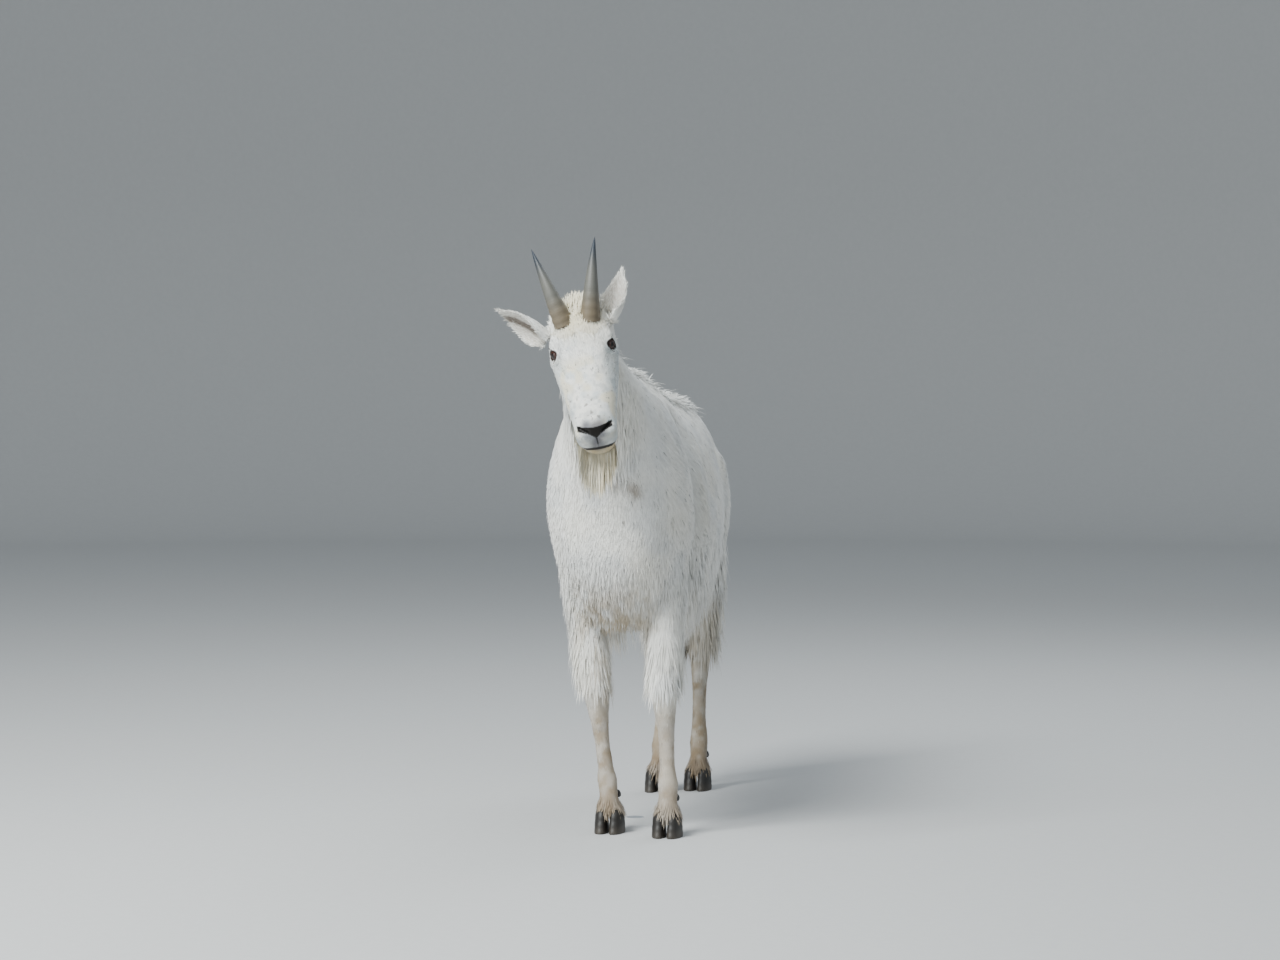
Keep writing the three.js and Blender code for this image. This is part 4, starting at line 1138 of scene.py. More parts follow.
def tufts(known, lie, long, wide, lift, fall, rings, clump=(20, 0.0), stray=0.18, hang=0.2):
    """Blades along a curve: root + long * (t along the lie, raised by the sine of the lift times t
    less a third of its square) + fall * t squared downwards + t squared of the clump's pull. It
    starts in a point, widens to rings of three points, to each side and on the back, and ends in a
    point. The lie is laid on the skin, but for the share that hang gives of its way outwards. The
    upper side has normals between the blade's and the skin's, and the lower side their mirror."""
    root, normal = known["p"], known["n"]
    count = len(root)
    dot = lambda a, b: np.einsum("ij,ij->i", a, b)[:, None]
    flow = lie + chance.normal(0, stray, (count, 3))
    away = dot(flow, normal)
    along = unit(flow - (away - hang * np.maximum(away, 0)) * normal)
    spread = chance.uniform(0.75, 1.25, count)
    long = (long * spread)[:, None]
    rise = long * np.sin(lift * chance.uniform(0.5, 1.5, count))[:, None]
    reach = long * np.reshape(np.cos(lift), (-1, 1))
    drop = DOWN * (fall * spread)[:, None]
    start = root - ROOT_DEPTH * normal
    line = lambda t: start + t * reach * along + (t - 0.34 * t * t) * rise * normal + t * t * drop
    slope = lambda t: reach * along + (1 - 0.68 * t) * rise * normal + 2 * t * drop
    pull = clumped(root, line(1.0), *clump)
    half = (wide * chance.uniform(0.7, 1.3, count) / 2)[:, None]
    size = 3 * len(rings) + 2
    grid, upper, lower = (np.empty((count, size, 3), np.float32) for _ in range(3))
    uv = np.empty((count, size, 2), np.float32)
    at = 0
    for t in (0.0, *rings, 1.0):
        tangent = unit(slope(t) + 2 * t * pull)
        out = unit(normal - 0.98 * dot(normal, tangent) * tangent)
        across = np.cross(out, tangent)
        width = half * np.interp(t, *zip(*RING_WIDTH))
        for side, back in CORNERS if 0 < t < 1 else [(0, 0)]:
            grid[:, at] = line(t) + t * t * pull + (across * side + out * back) * width
            facing = out + SOFTNESS * normal + 0.25 * side * across
            upper[:, at] = facing
            lower[:, at] = facing - 2 * dot(facing, out) * out
            uv[:, at] = known["uv"] + np.array([side * 0.5, t - 0.5]) * UV_PATCH
            at += 1
    return grid, upper, lower, uv


def blade_faces(rings):
    """Triangles of one blade, a fan at the root, two to a side between rings and a fan at the tip,
    and whether each is on the lower side."""
    tip = 3 * rings + 1
    faces, under = [], []
    for k in range(3):
        a, b = 1 + k, 1 + (k + 1) % 3
        faces += [(0, b, a), (a + tip - 4, b + tip - 4, tip)]
        for low in range(0, 3 * (rings - 1), 3):
            faces += [(a + low, b + low, b + low + 3), (a + low, b + low + 3, a + low + 3)]
        under += [k == 2] * (len(faces) - len(under))
    return np.array(faces), np.array(under)


DUSTY_SHARE, DUSTY_TONE = 0.05, 0.86
SPECK_SHARE, SPECK_TONE = 0.018, 0.34
coat_counts = []


def coat_piece(name, known, shape, rings, shade=0.06):
    """The mesh of all tufts of one stretch of the coat, with its colours and its own patches. Five
    tufts in a hundred are dusty, and of the short ones two in a hundred have a dark speck. Each
    blade is a little darker at its root than at its tip, a painted shade under the coat."""
    grid, upper, lower, uv = shape
    count, size = grid.shape[:2]
    pattern, under = blade_faces(len(rings))
    faces = (pattern[None] + (np.arange(count) * size)[:, None, None]).reshape(-1, 3)
    mesh = mesh_from(name, grid.reshape(-1, 3), faces)
    layer = mesh.uv_layers.new(name="OFBake")
    layer.data.foreach_set("uv", uv.reshape(-1, 2)[faces.ravel()].ravel())
    own = 1 + chance.normal(0, shade, count)
    kind = chance.random(count)
    own = np.where(kind < DUSTY_SHARE, own * DUSTY_TONE, own)
    t = np.array([0, *np.repeat(rings, 3), 1.0])
    # Painted shade: each blade is a little darker at its root, under the coat, and lighter at its tip.
    ramp = 0.95 + 0.08 * t[None] * np.ones((count, 1))
    if len(rings) == 1:
        speck = (kind < SPECK_SHARE)[:, None] & (t > 0) & (t < 1)
        ramp = ramp * np.where(speck, SPECK_TONE, 1)
    tones = known["colour"][:, None] * (np.clip(own, 0.3, 1.15)[:, None] * ramp)[..., None]
    paint(mesh, "tint", np.clip(tones, 0, 1).reshape(-1, 3))
    facing = np.where(under[None, :, None, None], lower[:, pattern], upper[:, pattern])
    mesh.normals_split_custom_set(unit(facing.reshape(-1, 3)))
    coat_counts.append(len(faces))
    piece_from(name, mesh, hair)
    print(name, count, "tufts,", len(faces), "triangles")


# %% [markdown]
# ### The lie of the coat
# Hair lies from the nose back over the face, down the neck, back and down over the flanks, and
# straight down the legs. Each stretch gives a direction, which is then laid flat on the skin.

# %% Lie, length and lift over the trunk


def trunk_coat(known):
    """Direction, length, lift and fall at the roots of the trunk's coat."""
    p, n = known["p"], known["n"]
    y, z = p[:, 1], p[:, 2]
    ridge = fade(n[:, 2], 0.8, 0.97) * fade(z, 850, 900)
    neck = fade(y, -400, -490)
    chest = fade(n[:, 1], -0.35, -0.8) * fade(z, 860, 760)
    rump = fade(y, 380, 500)
    belly = fade(n[:, 2], -0.4, -0.9) * fade(z, 580, 500)
    limb = known["limb"]
    lie = np.broadcast_to([0.0, 0.8, -0.62], p.shape) + 0.12 * np.sign(p[:, :1]) * [1, 0, 0]
    lie = blend(lie, (0, 0.4, -0.92), neck)
    lie = blend(lie, (0, 0.05, -1), chest)
    lie = blend(lie, (0, 0.3, -0.95), rump)
    lie = blend(lie, (0, 1, 0.05), ridge)
    lie = blend(lie, (0, 0.12, -1), limb)
    sweep = (noise(p, 120, 5) - 0.5)[:, None] * np.cross(n, lie)
    long = 27 - 7 * neck * (1 - ridge) + 12 * rump + 10 * belly - 5 * chest + 14 * ridge
    lift = 0.15 + 0.08 * ridge - 0.05 * neck * (1 - ridge)
    return lie + 0.7 * sweep, long * (0.85 + 0.3 * noise(p, 40, 6)), lift, 4 + 4 * belly


upper = fade(HIGH, 330, 365) * on_body
STRETCHES = [
    # name, weight, count, pull of the clumps
    ("coat_neck", upper * fade(ALONG, -395, -415), 21000, 0.06),
    ("coat_shoulder", upper * fade(ALONG, -415, -395) * fade(ALONG, -140, -160), 23000, 0.16),
    ("coat_flank", upper * fade(ALONG, -160, -140) * fade(ALONG, 190, 170), 19000, 0.16),
    ("coat_rump", upper * fade(ALONG, 170, 190), 20000, 0.16),
]
for name, weight, count, pull in STRETCHES:
    known = scatter(weight, count)
    lie, long, lift, fall = trunk_coat(known)
    shape = tufts(known, lie, long, 2.9, lift, fall, SHORT_RINGS, clump=(11, pull), stray=0.19)
    coat_piece(name, known, shape, SHORT_RINGS, shade=0.045)

# %% [markdown]
# ### Short hair of the shanks, face and ears
# Where the hair is short it hardly breaks the form, so the tufts are small and lie nearly flat.
# On the face they leave out the nose, the line of the mouth and the slits of the eyes.

# %% Shanks
known = scatter(on_body * fade(HIGH, 380, 345) * fade(HIGH, 40, 50), 13000)
shank_long = 9 + 16 * fade(known["p"][:, 2], 300, 370)
shape = tufts(known, np.array([0, 0.15, -1.0]), shank_long, 2.1, 0.22, 2.0, SHORT_RINGS)
coat_piece("coat_shanks", known, shape, SHORT_RINGS, shade=0.1)

# %% Face
face_open = on_head * fade(skin_known["nose"], 7.5, 9.5) * fade(skin_known["slit"], 1.3, 1.42)
face_open = face_open * fade(skin_known["mouth"], 2.2, 3.5) * ~on_ear
front_share = fade(HEAD_ALONG, 12, -8)


def face_coat(known):
    """Direction, length, lift and width at the roots of the face's coat."""
    head, faces_up = known["head"], known["head_n"][:, 2]
    back = fade(head[:, 1], -150, 40)
    lie = np.stack([0.006 * head[:, 0], np.ones(len(head)), -0.1 - 0.4 * fade(head[:, 2], 0, -60)], 1)
    crown = fade(faces_up, 0.3, 0.8) * fade(head[:, 1], -30, 20)
    under = fade(faces_up, -0.2, -0.8)
    from_eye = folded(head) - [EYE_SPREAD, 0, 0]
    near_eye = fade(np.linalg.norm(from_eye, axis=1), 36, 20)
    from_eye[:, 0] *= np.sign(head[:, 0])
    lie = lie + 2.2 * near_eye[:, None] * unit(from_eye)
    long = 6 + 5 * back + 8 * crown + 5 * under + 6 * fade(head[:, 1], 20, 60)
    long = long * (1 - 0.35 * near_eye) + 7 * fade(head[:, 1], 55, 95)
    lift = 0.26 + 0.06 * back + 0.16 * crown
    long = long * (0.45 + 0.55 * fade(known["mouth"] + 6 * fade(head[:, 1], -190, -176), 4, 14))
    return lie @ HEAD_TURN.T, long, lift, 1.5 + 0.8 * back


for name, weight, count in (
    ("coat_face", face_open * front_share * (1 + fade(HEAD_ALONG, -120, -170)), 25000),
    ("coat_crown", face_open * (1 - front_share), 12000),
):
    known = scatter(weight, count)
    lie, long, lift, wide = face_coat(known)
    shape = tufts(known, lie, long, wide, lift, 0.6, SHORT_RINGS, clump=(7, 0.35), stray=0.34)
    coat_piece(name, known, shape, SHORT_RINGS, shade=0.11)

# %% Ears
known = scatter(on_ear.astype(float), 9000)
left_lie, right_lie = (ear_frame(side)[1] @ HEAD_TURN.T for side in (LEFT, RIGHT))
ear_lie = np.where(known["ear"][LEFT][:, None], left_lie, right_lie)
inside = ear_inside(known, LEFT) | ear_inside(known, RIGHT)
# The hair inside the ears is whitened, but not along the painted shade deep in the hollow.
hollow_shade_share = ear_hollow_shade(known, LEFT) + ear_hollow_shade(known, RIGHT)
known["colour"] = blend(known["colour"], WHITE, 0.8 * inside * (1 - hollow_shade_share))
ear_long = np.where(inside, 11.0, 10.0)
shape = tufts(known, ear_lie, ear_long, 1.8, 0.2, 0.5, SHORT_RINGS, stray=0.25)
coat_piece("coat_ears", known, shape, SHORT_RINGS)

# %% [markdown]
# ### Long locks
# The crest along the back, the beard, the skirt of the flanks, the pantaloons and the breeches are
# what names this animal from far off. Their blades have three rings, so that they can bend, and
# they clump strongly.

# %% Where the locks grow
ANY_LEG = skin_known["limb"] * (HIGH < 600)
FORE = ALONG < 0
crest = on_body * fade(N_HIGH, 0.66, 0.96) * fade(HIGH, 860, 900) * fade(ALONG, -620, -570)
throat = on_body * fade(N_ALONG, -0.5, -0.85) * fade(ALONG, -470, -500) * fade(HIGH, 760, 830)
skirt = on_body * (1 - ANY_LEG) * fade(np.abs(N_ACROSS), 0.3, 0.6) * fade(HIGH, 680, 540)
skirt = skirt * fade(ALONG, -330, -260) * fade(ALONG, 330, 280) * fade(N_HIGH, 0.1, -0.15)
brisket = on_body * fade(ALONG, -260, -330) * fade(HIGH, 620, 540) * (1 - ANY_LEG)
pantaloons = ANY_LEG * FORE * fade(HIGH, 345, 365) * fade(HIGH, 590, 470)
breeches = ANY_LEG * ~FORE * fade(HIGH, 365, 385) * fade(HIGH, 680, 520)
breeches = breeches * (0.6 + 0.4 * fade(N_ALONG, -0.6, 0))
brush = on_body * fade(ALONG, 512, 524) * fade(HIGH, 690, 720) * (np.abs(ACROSS) < 34)
brush = brush * (HIGH < 888)
beard = on_head * ~on_ear * fade(skin_known["head_n"][:, 2], 0.25, -0.15)
beard = beard * fade(HEAD_ALONG, -198, -184)
beard = beard * fade(HEAD_ALONG, -30, -65) * (HEAD_HIGH < -50) * fade(skin_known["mouth"], 9, 13)
beard = beard * fade(np.abs(HEAD_ACROSS), 47, 34)
poll = on_head * fade(HEAD_ALONG, 62, 74) * fade(HEAD_HIGH, -10, 5) * (np.abs(HEAD_ACROSS) < 40)
coronet = on_body * fade(HIGH, 44, 50) * fade(HIGH, 82, 70)

# %% Grow the locks
LOCKS = [
    # name, weight, count, direction, length, width, lift, fall, clump
    ("throat", throat, 900, (0, 0.1, -1), 38, 2.4, 0.12, 5, (20, 0.25)),
    ("skirt", skirt, 4300, (0, 0.5, -1), 96, 2.6, 0.13, 10, (28, 0.36)),
    ("brisket", brisket, 2000, (0, 0.2, -1), 27, 2.6, 0.11, 4, (18, 0.2)),
    ("pantaloons", pantaloons, 5200, (0, 0.1, -1), 62, 2.5, 0.11, 4, (15, 0.16)),
    ("breeches", breeches, 6500, (0, 0.16, -1), 84, 2.7, 0.2, 6, (22, 0.26)),
    ("brush", brush, 1400, (0, 0.1, -1), 60, 2.4, 0.2, 6, (22, 0.4)),
    ("poll_tuft", poll, 900, (0, 0.35, 0.9), 28, 1.9, 0.4, 3, (14, 0.3)),
    ("coronet", coronet, 1600, (0, -0.1, -1), 24, 2.2, 0.42, 2, (9, 0.3)),
]
for name, weight, count, lie, long, wide, lift, fall, clump in LOCKS:
    known = scatter(weight, count)
    own_long = long * (0.7 + 0.6 * noise(known["p"], 24, 8))
    if name in ("skirt", "breeches"):
        own_long = own_long * (0.45 + 0.55 * fade(known["p"][:, 2], 620, 480))
    if name == "pantaloons":
        own_long = own_long * (0.5 + 0.5 * fade(known["p"][:, 2], 480, 390))
    lie = np.array(lie, float)
    shape = tufts(known, lie, own_long, wide, lift, fall, LONG_RINGS, clump, 0.13, 0.8)
    if name == "poll_tuft":
        known["colour"] = blend(known["colour"], CREAM, np.full(count, 0.45))
    coat_piece(name, known, shape, LONG_RINGS)

# %% The beard, long under the chin and shorter at its sides, over a shorter filling
known = scatter(beard, 4800)
wide = np.abs(known["head"][:, 0])
beard_long = 44 + 52 * fade(wide, 42, 14) * fade(known["head"][:, 1], -50, -120)
beard_long = beard_long * (0.75 + 0.5 * noise(known["p"], 16, 8))
shape = tufts(known, DOWN - 0.1 * BACK, beard_long, 2.4, 0.05, 8, LONG_RINGS, (14, 0.28), 0.1, 1.0)
known["colour"] = blend(known["colour"], CREAM, 0.55 * fade(wide, 50, 20))
coat_piece("beard", known, shape, LONG_RINGS)
known = scatter(beard, 5000)
wide = np.abs(known["head"][:, 0])
fill_long = 34 + 30 * fade(wide, 42, 14)
shape = tufts(known, DOWN - 0.15 * BACK, fill_long, 3.0, 0.05, 5, SHORT_RINGS, (12, 0.1), 0.12, 1.0)
known["colour"] = blend(known["colour"], CREAM, 0.75 * fade(wide, 50, 20))
coat_piece("beard_under", known, shape, SHORT_RINGS, shade=0.05)

# %% [markdown]
# The crest stands highest on the middle of the back and melts into the coat at its sides, so its
# length and lift follow how squarely the skin faces up. Round the foot of each horn the hair of
# the crown stands up against the sheath.

# %% Crest and cuffs of the horns


def mirrored(vector, across):
    """A vector of the left half at each point: its first number takes the sign of across."""
    sign = np.sign(across)[:, None]
    return vector * np.hstack([sign, sign**2, sign**2])


known = scatter(crest, 6600)
middle = fade(known["n"][:, 2], 0.8, 0.98) * fade(np.abs(known["p"][:, 0]), 60, 15)
crest_lie = blend(mirrored(np.array([0.3, 0.9, -0.3]), known["p"][:, 0]), (0, 1, 0.1), middle)
crest_long = (32 + 36 * middle) * (0.6 + 0.7 * noise(known["p"], 26, 12))
crest_long = crest_long * (0.4 + 0.6 * fade(known["p"][:, 1], -560, -440))
shape = tufts(known, crest_lie, crest_long, 2.4, 0.22 + 0.24 * middle, 8, LONG_RINGS, (15, 0.3), 0.26)
coat_piece("crest", known, shape, LONG_RINGS)

HORN_BASE = np.array([27.0, 50, 26])
CUFF_TUFTS = 2200
horn_off = folded(skin_known["head"]) - HORN_BASE
horn_off = np.hypot(horn_off[:, 0], 0.8 * horn_off[:, 1])
cuff = on_head * ~on_ear * fade(horn_off, 38, 32) * fade(horn_off, 18, 22) * (HEAD_HIGH > 10)
known = scatter(cuff, CUFF_TUFTS)
inward = mirrored(HORN_BASE, known["head"][:, 0]) - known["head"]
cuff_lie = 0.5 * unit(inward * [1, 1, 0]) + [0, 0.5, 0.9]
shape = tufts(known, cuff_lie @ HEAD_TURN.T, 20.0, 1.8, 0.7, 0.5, SHORT_RINGS, (9, 0.35), 0.3)
known["colour"] = blend(known["colour"], CREAM, np.full(CUFF_TUFTS, 0.4))
coat_piece("horn_cuffs", known, shape, SHORT_RINGS)
print("all of the coat:", sum(coat_counts), "triangles")

# %% [markdown]
# ## Eyes
# The eyeball is a polished sphere. Its colours are rings about the way it faces: a level pupil,
# a dark brown iris, a darker rim, and reddish skin of the inner lid. The lids are a closed ring
# with a rounded edge, which follows the almond of the opening over the ball.

# %% Eyeballs and lids
eye_wet, add = material_named("wet_eye")
tint = add("ShaderNodeAttribute", {"attribute_name": "tint"})
eye_shader = add(
    "ShaderNodeBsdfPrincipled",
    Base_Color=(tint, "Color"),
    Roughness=0.5,
    IOR=1.38,
    Specular_IOR_Level=0.1,
    Coat_Weight=1.0,
    Coat_Roughness=0.03,
)
add("ShaderNodeOutputMaterial", Surface=(eye_shader, "BSDF"))
lid_leather, add = material_named("eyelid_skin")
tint = add("ShaderNodeAttribute", {"attribute_name": "tint"})
place = add("ShaderNodeTexCoord")
folds = add("ShaderNodeTexNoise", Vector=(place, "Object"), Scale=700.0, Detail=2.0)
crease = add("ShaderNodeBump", Strength=0.3, Distance=0.0005, Height=(folds, "Fac"))
lid_shader = add(
    "ShaderNodeBsdfPrincipled",
    Base_Color=(tint, "Color"),
    Roughness=0.45,
    IOR=1.45,
    Normal=(crease, "Normal"),
)
add("ShaderNodeOutputMaterial", Surface=(lid_shader, "BSDF"))

PUPIL = linear("#050404")
IRIS = linear("#35190f")
IRIS_RIM = linear("#0d0806")
EYE_CORNER = linear("#8a4a2e")
LID_RIM = linear("#b9ac9d")
LID_RING = [
    # share of the opening, height over the eyeball
    (0.9, -1.6),
    (0.955, 0.5),
    (1.02, 1.5),
    (1.16, 1.7),
    (1.34, 0.9),
    (1.5, -1.4),
    (1.5, -5),
    (0.9, -5),
]
for side, side_name in ((LEFT, "left"), (RIGHT, "right")):
    middle, facing, level, up = eye_frame(side)
    points, faces = ball(middle, EYE_RADIUS, 72, 96)
    across = (points - middle) @ level / EYE_RADIUS
    rise = (points - middle) @ up / EYE_RADIUS
    out = np.hypot(across, rise)
    colour = np.broadcast_to(EYE_CORNER, points.shape)
    colour = blend(colour, IRIS_RIM, fade(out, 0.8, 0.72))
    colour = blend(colour, IRIS, fade(out, 0.66, 0.58))
    colour = blend(colour, PUPIL, fade(np.hypot(across / 0.4, rise / 0.2), 1.1, 0.9))
    mesh = mesh_from("eyeball_" + side_name, from_head(points), faces)
    paint(mesh, "tint", colour)
    piece_from("eyeball_" + side_name, mesh, eye_wet, ["eye_" + side_name])

    around = np.linspace(0, 2 * np.pi, 96, endpoint=False)[:, None]
    scale, high = (np.array(values)[None] for values in zip(*LID_RING))
    x = EYE_OPEN[0] * np.cos(around) * scale
    y = EYE_OPEN[1] * np.sin(around) * np.abs(np.sin(around)) ** 0.35 * scale
    y = y * np.where((np.sin(around) > 0) & (scale > 1.1), 1.08, 1)
    radius = EYE_RADIUS + high
    ahead = np.sqrt(np.maximum(radius**2 - x**2 - y**2, 1))
    grid = middle + x[..., None] * level + y[..., None] * up + ahead[..., None] * facing
    ring = np.arange(grid.shape[0] * grid.shape[1]).reshape(grid.shape[:2])
    follow = np.roll(ring, -1, 0)
    quads = np.stack([ring, follow, np.roll(follow, -1, 1), np.roll(ring, -1, 1)], -1).reshape(-1, 4)
    points = from_head(grid.reshape(-1, 3))
    normals = point_normals(points, quads)
    outward = np.einsum("ij,j->i", normals[ring[:, 2]], facing @ HEAD_TURN.T).mean()
    quads = quads if outward > 0 else quads[:, ::-1]
    mesh = mesh_from("eyelids_" + side_name, points, quads)
    edge = np.broadcast_to(fade(scale, 1.04, 1.22), grid.shape[:2]).ravel()
    paint(mesh, "tint", blend(np.broadcast_to(LID_SKIN, points.shape), LID_RIM, edge))
    piece_from("eyelids_" + side_name, mesh, lid_leather)
print("eyes done")

# %% [markdown]
# ## Horns and hooves
# Both are keratin. A horn is a cone swept along a curve that leans back more and more. Its radius
# falls off with a power of what is left of its length, and fine rings of growth ripple its lower
# half. A hoof has two toes, each a wedge with a flat sole.

# %% Horn sheaths
keratin, add = material_named("horn_keratin")
place = add("ShaderNodeTexCoord")
tint = add("ShaderNodeAttribute", {"attribute_name": "tint"})
streaks = add("ShaderNodeTexNoise", Vector=(place, "Object"), Scale=260.0, Detail=5.0)
wear = add("ShaderNodeMapRange", Value=(streaks, "Fac"), To_Min=0.82, To_Max=1.14)
shade = add(
    "ShaderNodeVectorMath", {"operation": "SCALE"}, _0=(tint, "Color"), Scale=(wear, "Result")
)
scratch = add("ShaderNodeBump", Strength=0.25, Distance=0.0005, Height=(streaks, "Fac"))
gloss = add("ShaderNodeMapRange", Value=(streaks, "Fac"), To_Min=0.42, To_Max=0.66)
horn_shader = add(
    "ShaderNodeBsdfPrincipled",
    Base_Color=(shade, "Vector"),
    Roughness=(gloss, "Result"),
    IOR=1.55,
    Normal=(scratch, "Normal"),
)
add("ShaderNodeOutputMaterial", Surface=(horn_shader, "BSDF"))

HORN_START, HORN_BEND, HORN_SPLAY = np.radians([42, 46, 13])
HORN_LONG, HORN_SUNK = 168, 14
HORN_ALL = HORN_LONG + HORN_SUNK
HORN_RADIUS = 26
HORN_RINGS = 9
HORN_FOOT = linear("#6b5f4c")
HORN_MIDDLE = linear("#5f5e58")
# The tip is dark of its own; the blue in its colour is a painted reflection of the sky.
HORN_TIP = linear("#1a2532")


def horn_points(side, rings=120, sides=40):
    """Points of a horn: its axis is the running sum of headings that turn back evenly, and each
    ring is an ellipse about it with ripples of a third of a millimetre."""
    share = np.linspace(0, 0.998, rings)
    slope = HORN_START - HORN_BEND * share
    level = np.cos(HORN_SPLAY)
    heading = np.stack(
        [np.full(rings, np.sin(HORN_SPLAY) * side), np.cos(slope) * level, np.sin(slope) * level], 1
    )
    axis = HORN_BASE * [side, 1, 1] + np.cumsum(heading, 0) * HORN_ALL / rings
    across = unit(SIDEWAYS - heading[:, :1] * heading)
    deep = np.cross(heading, across)
    ripple = 0.3 * np.sin(2 * np.pi * HORN_RINGS * share**0.8) * fade(share, 0.5, 0.2)
    ripple = ripple + 0.12 * np.sin(2 * np.pi * 37 * share) * fade(share, 0.8, 0.4)
    radius = HORN_RADIUS * (1 - share) ** 0.86 + ripple
    angle = np.linspace(0, 2 * np.pi, sides, endpoint=False)
    grid = axis[:, None] + across[:, None] * (0.86 * radius[:, None] * np.cos(angle))[..., None]
    return grid + deep[:, None] * (radius[:, None] * np.sin(angle))[..., None], share


for side, side_name in ((LEFT, "left"), (RIGHT, "right")):
    grid, share = horn_points(side)
    points, faces = shell(grid)
    mesh = mesh_from("horn_sheath_" + side_name, from_head(points), faces)
    along = np.append(np.repeat(share, grid.shape[1]), [0, 1])
    bands = 0.07 * np.sin(2 * np.pi * HORN_RINGS * along**0.8) * fade(along, 0.55, 0.2)
    colour = blend(np.broadcast_to(HORN_FOOT, points.shape), HORN_MIDDLE, fade(along, 0.08, 0.4))
    colour = blend(colour, HORN_TIP, fade(along, 0.46, 0.9)) * (1 + bands)[:, None]
    paint(mesh, "tint", colour)
    piece_from("horn_sheath_" + side_name, mesh, keratin, ["horn_" + side_name])
print("horns done")

# %% Hooves and dewclaws
TOE_HALF_GAP = 17
TOE_ROWS = np.array(
    [
        # height, half width, reach to the front and to the back
        (0, 16, 42, 34),
        (5, 16.4, 42, 35),
        (24, 15.8, 35, 32),
        (43, 14, 28, 28),
        (HOOF_HEIGHT, 10, 19, 20),
    ]
)
HOOF_BLACK = linear("#211d1a")
HOOF_WORN = linear("#4a423a")


def toe_points(foot, side, rings=26, sides=44):
    """Points of a toe: level rings, whose half width and reaches follow the rows, with the inner
    half flatter than the outer, and the tip turned a little to the middle."""
    table = smooth(TOE_ROWS, np.linspace(0, len(TOE_ROWS) - 1, rings))
    high, wide, front, back = (table[:, k, None] for k in range(4))
    angle = np.linspace(0, 2 * np.pi, sides, endpoint=False)[None]
    cos, sin = np.cos(angle), np.sin(angle)
    half = wide * np.where(cos * side < 0, 0.86, 1)
    across = half * np.sign(cos) * np.abs(cos) ** 0.8 - side * 3 * np.maximum(sin, 0)
    reach = np.where(sin > 0, front, back)
    growth = 1 + 0.012 * np.sin(high / 2.6) * (high > 8)
    x = foot[0] + side * TOE_HALF_GAP + across * growth
    y = foot[1] - reach * sin * growth - 3
    return np.stack([x, y, np.clip(high, 0, None) * np.ones_like(x)], -1)


def claw_points(pastern, side, rings=14, sides=18):
    """Points of a dewclaw: a blunt cone that hangs back from the pastern, whose radius is the root
    of one less the cube of the share of its length."""
    root = np.array([pastern[0] + side * 13, pastern[1] + 14, 88.0])
    heading = unit(np.array([side * 0.2, 0.75, -0.65]))
    across = unit(SIDEWAYS - heading[0] * heading)
    deep = np.cross(heading, across)
    share = np.linspace(0, 1, rings)
    radius = 7.5 * np.sqrt(np.clip(1 - share**3, 0.001, 1)) * (0.6 + 0.4 * fade(share, 0, 0.3))
    angle = np.linspace(0, 2 * np.pi, sides, endpoint=False)
    grid = (root + heading * (22 * share)[:, None])[:, None]
    grid = grid + across * (radius[:, None] * np.cos(angle))[..., None]
    return grid + deep * (radius[:, None] * np.sin(angle))[..., None]


for limb_name, limb_form in legs.items():
    foot = limb_form["centre"][-3]
    pastern = limb_form["centre"][-4]
    for side, body_side in ((LEFT, "left"), (RIGHT, "right")):
        where = "outer" if limb_name.endswith(body_side) else "inner"
        points, faces = shell(toe_points(foot, side))
        label = f"{limb_name}_{where}"
        mesh = mesh_from("toe_" + label, points, faces)
        dust = fade(points[:, 2], 26, 2) * (0.35 + 0.5 * noise(points, 6, 9))
        paint(mesh, "tint", blend(np.broadcast_to(HOOF_BLACK, points.shape), HOOF_WORN, dust))
        piece_from("toe_" + label, mesh, keratin, ["hoof_" + label])
        points, faces = shell(claw_points(pastern, side))
        mesh = mesh_from("dewclaw_" + label, points, faces)
        paint(mesh, "tint", np.broadcast_to(HOOF_BLACK, points.shape))
        piece_from("dewclaw_" + label, mesh, keratin)
print("toes and dewclaws done")

# %% [markdown]
# ## Floor and light
# A pale bowl, a wide flat floor whose rim curves up all round into a wall, leaves the white coat to
# be read by its shade, from any side. Large lamps make soft shadows: one high in front, a weak one
# low under it, a weak cool one on the other side, one behind, and a cool sky all round.

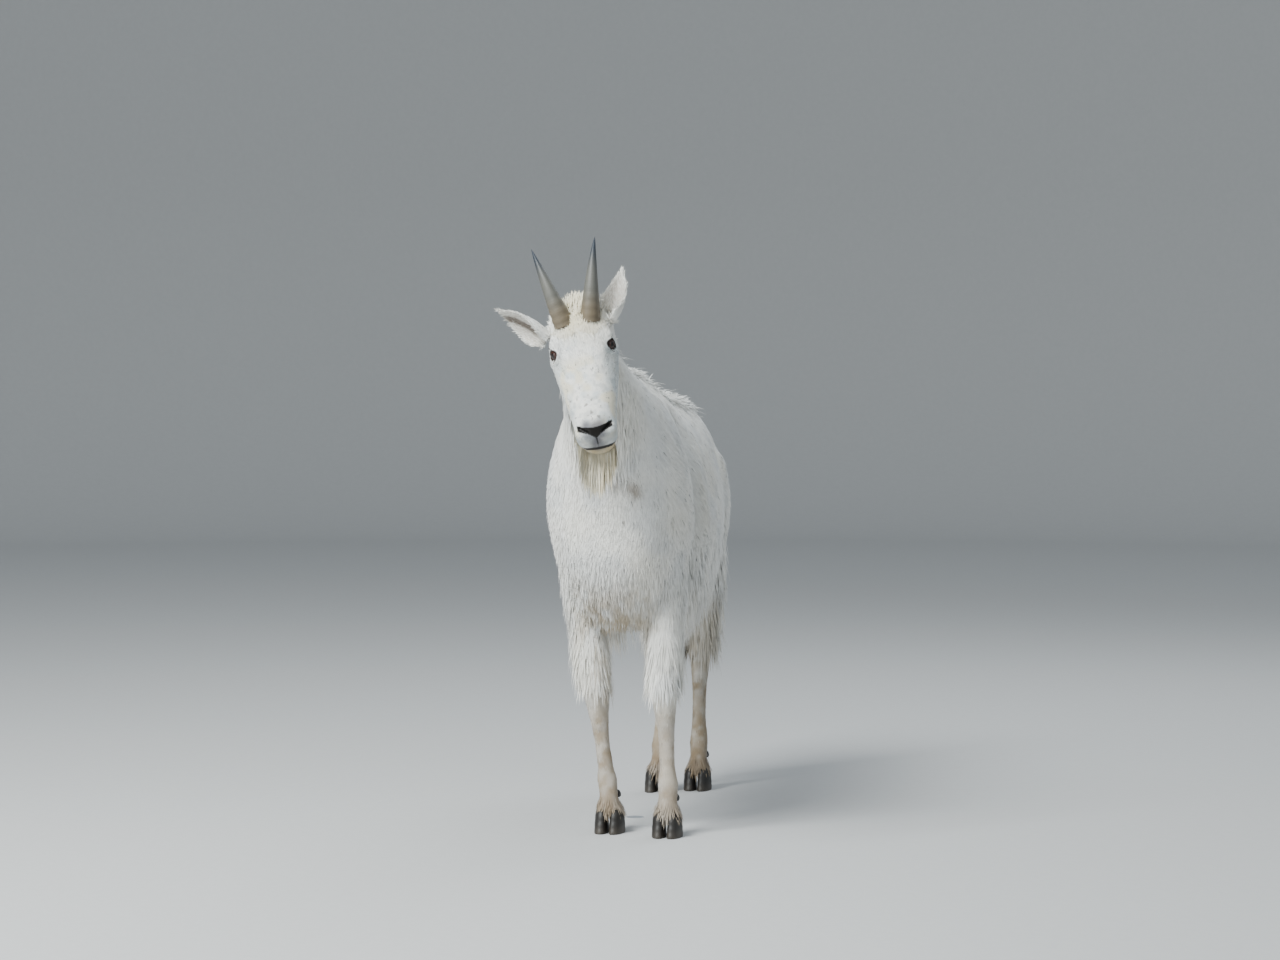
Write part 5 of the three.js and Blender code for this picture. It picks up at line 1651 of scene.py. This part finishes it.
# %% Studio
FLOOR_FLAT, WALL_ROUND, WALL_HIGH = 10.0, 2.0, 4.5
quarter = np.linspace(0, np.pi / 2, 20)
reach = FLOOR_FLAT + WALL_ROUND * np.sin(quarter)
reach = np.concatenate([[0.02], reach, [FLOOR_FLAT + WALL_ROUND]])
height = np.concatenate([[0.0], WALL_ROUND * (1 - np.cos(quarter)), [WALL_HIGH]])
around = np.linspace(0, 2 * np.pi, 96, endpoint=False)[:, None]
bowl = np.stack([reach * np.cos(around), reach * np.sin(around), height * np.ones_like(around)], -1)
here = np.arange(bowl[..., 0].size).reshape(bowl.shape[:2])
after = np.roll(here, -1, 0)
quads = np.stack([here[:, :-1], here[:, 1:], after[:, 1:], after[:, :-1]], -1).reshape(-1, 4)
bowl_mesh = mesh_from("paper_bowl", bowl.reshape(-1, 3) / MM - SHIFT, quads)
paper, add = material_named("matt_paper")
place = add("ShaderNodeTexCoord")
fibres = add("ShaderNodeTexNoise", Vector=(place, "Object"), Scale=40.0, Detail=4.0)
tone = add("ShaderNodeMapRange", Value=(fibres, "Fac"), To_Min=0.52, To_Max=0.56)
paper_shader = add("ShaderNodeBsdfPrincipled", Base_Color=(tone, "Result"), Roughness=0.9)
add("ShaderNodeOutputMaterial", Surface=(paper_shader, "BSDF"))
bowl_mesh.materials.append(paper)
bowl_object = bpy.data.objects.new("paper_bowl", bowl_mesh)
bpy.context.scene.collection.objects.link(bowl_object)


BODY_MIDDLE = np.array([0, -0.2, 0.7])


def lamp(name, at, power, size, colour):
    """A square area lamp that faces the middle of the animal."""
    light = bpy.data.lights.new(name, "AREA")
    light.energy = power
    light.size = size
    light.color = colour
    lamp_object = bpy.data.objects.new(name, light)
    bpy.context.scene.collection.objects.link(lamp_object)
    back = unit(np.array(at) - BODY_MIDDLE)
    right = unit(np.cross(UP, back))
    turned = np.eye(4)
    turned[:3, :3] = np.stack([right, np.cross(back, right), back], 1)
    turned[:3, 3] = at
    lamp_object.matrix_world = Matrix(turned.tolist())


lamp("key", (-1.9, -3.5, 4.8), 590, 2.4, (0.96, 1.0, 0.985))
lamp("bounce", (-3.3, -3.6, 0.9), 62, 2.6, (0.95, 1.0, 1.0))
lamp("fill", (3.6, -2.6, 2.2), 14, 2.4, (0.84, 0.94, 1.0))
lamp("rim", (1.2, 3.0, 3.6), 60, 2.0, (0.9, 0.96, 1.0))
sky = bpy.data.worlds.new("sky")
sky.use_nodes = True
sky_light = sky.node_tree.nodes["Background"].inputs
sky_light["Color"].default_value = (0.8, 0.9, 0.98, 1.0)
sky_light["Strength"].default_value = 0.44
bpy.context.scene.world = sky
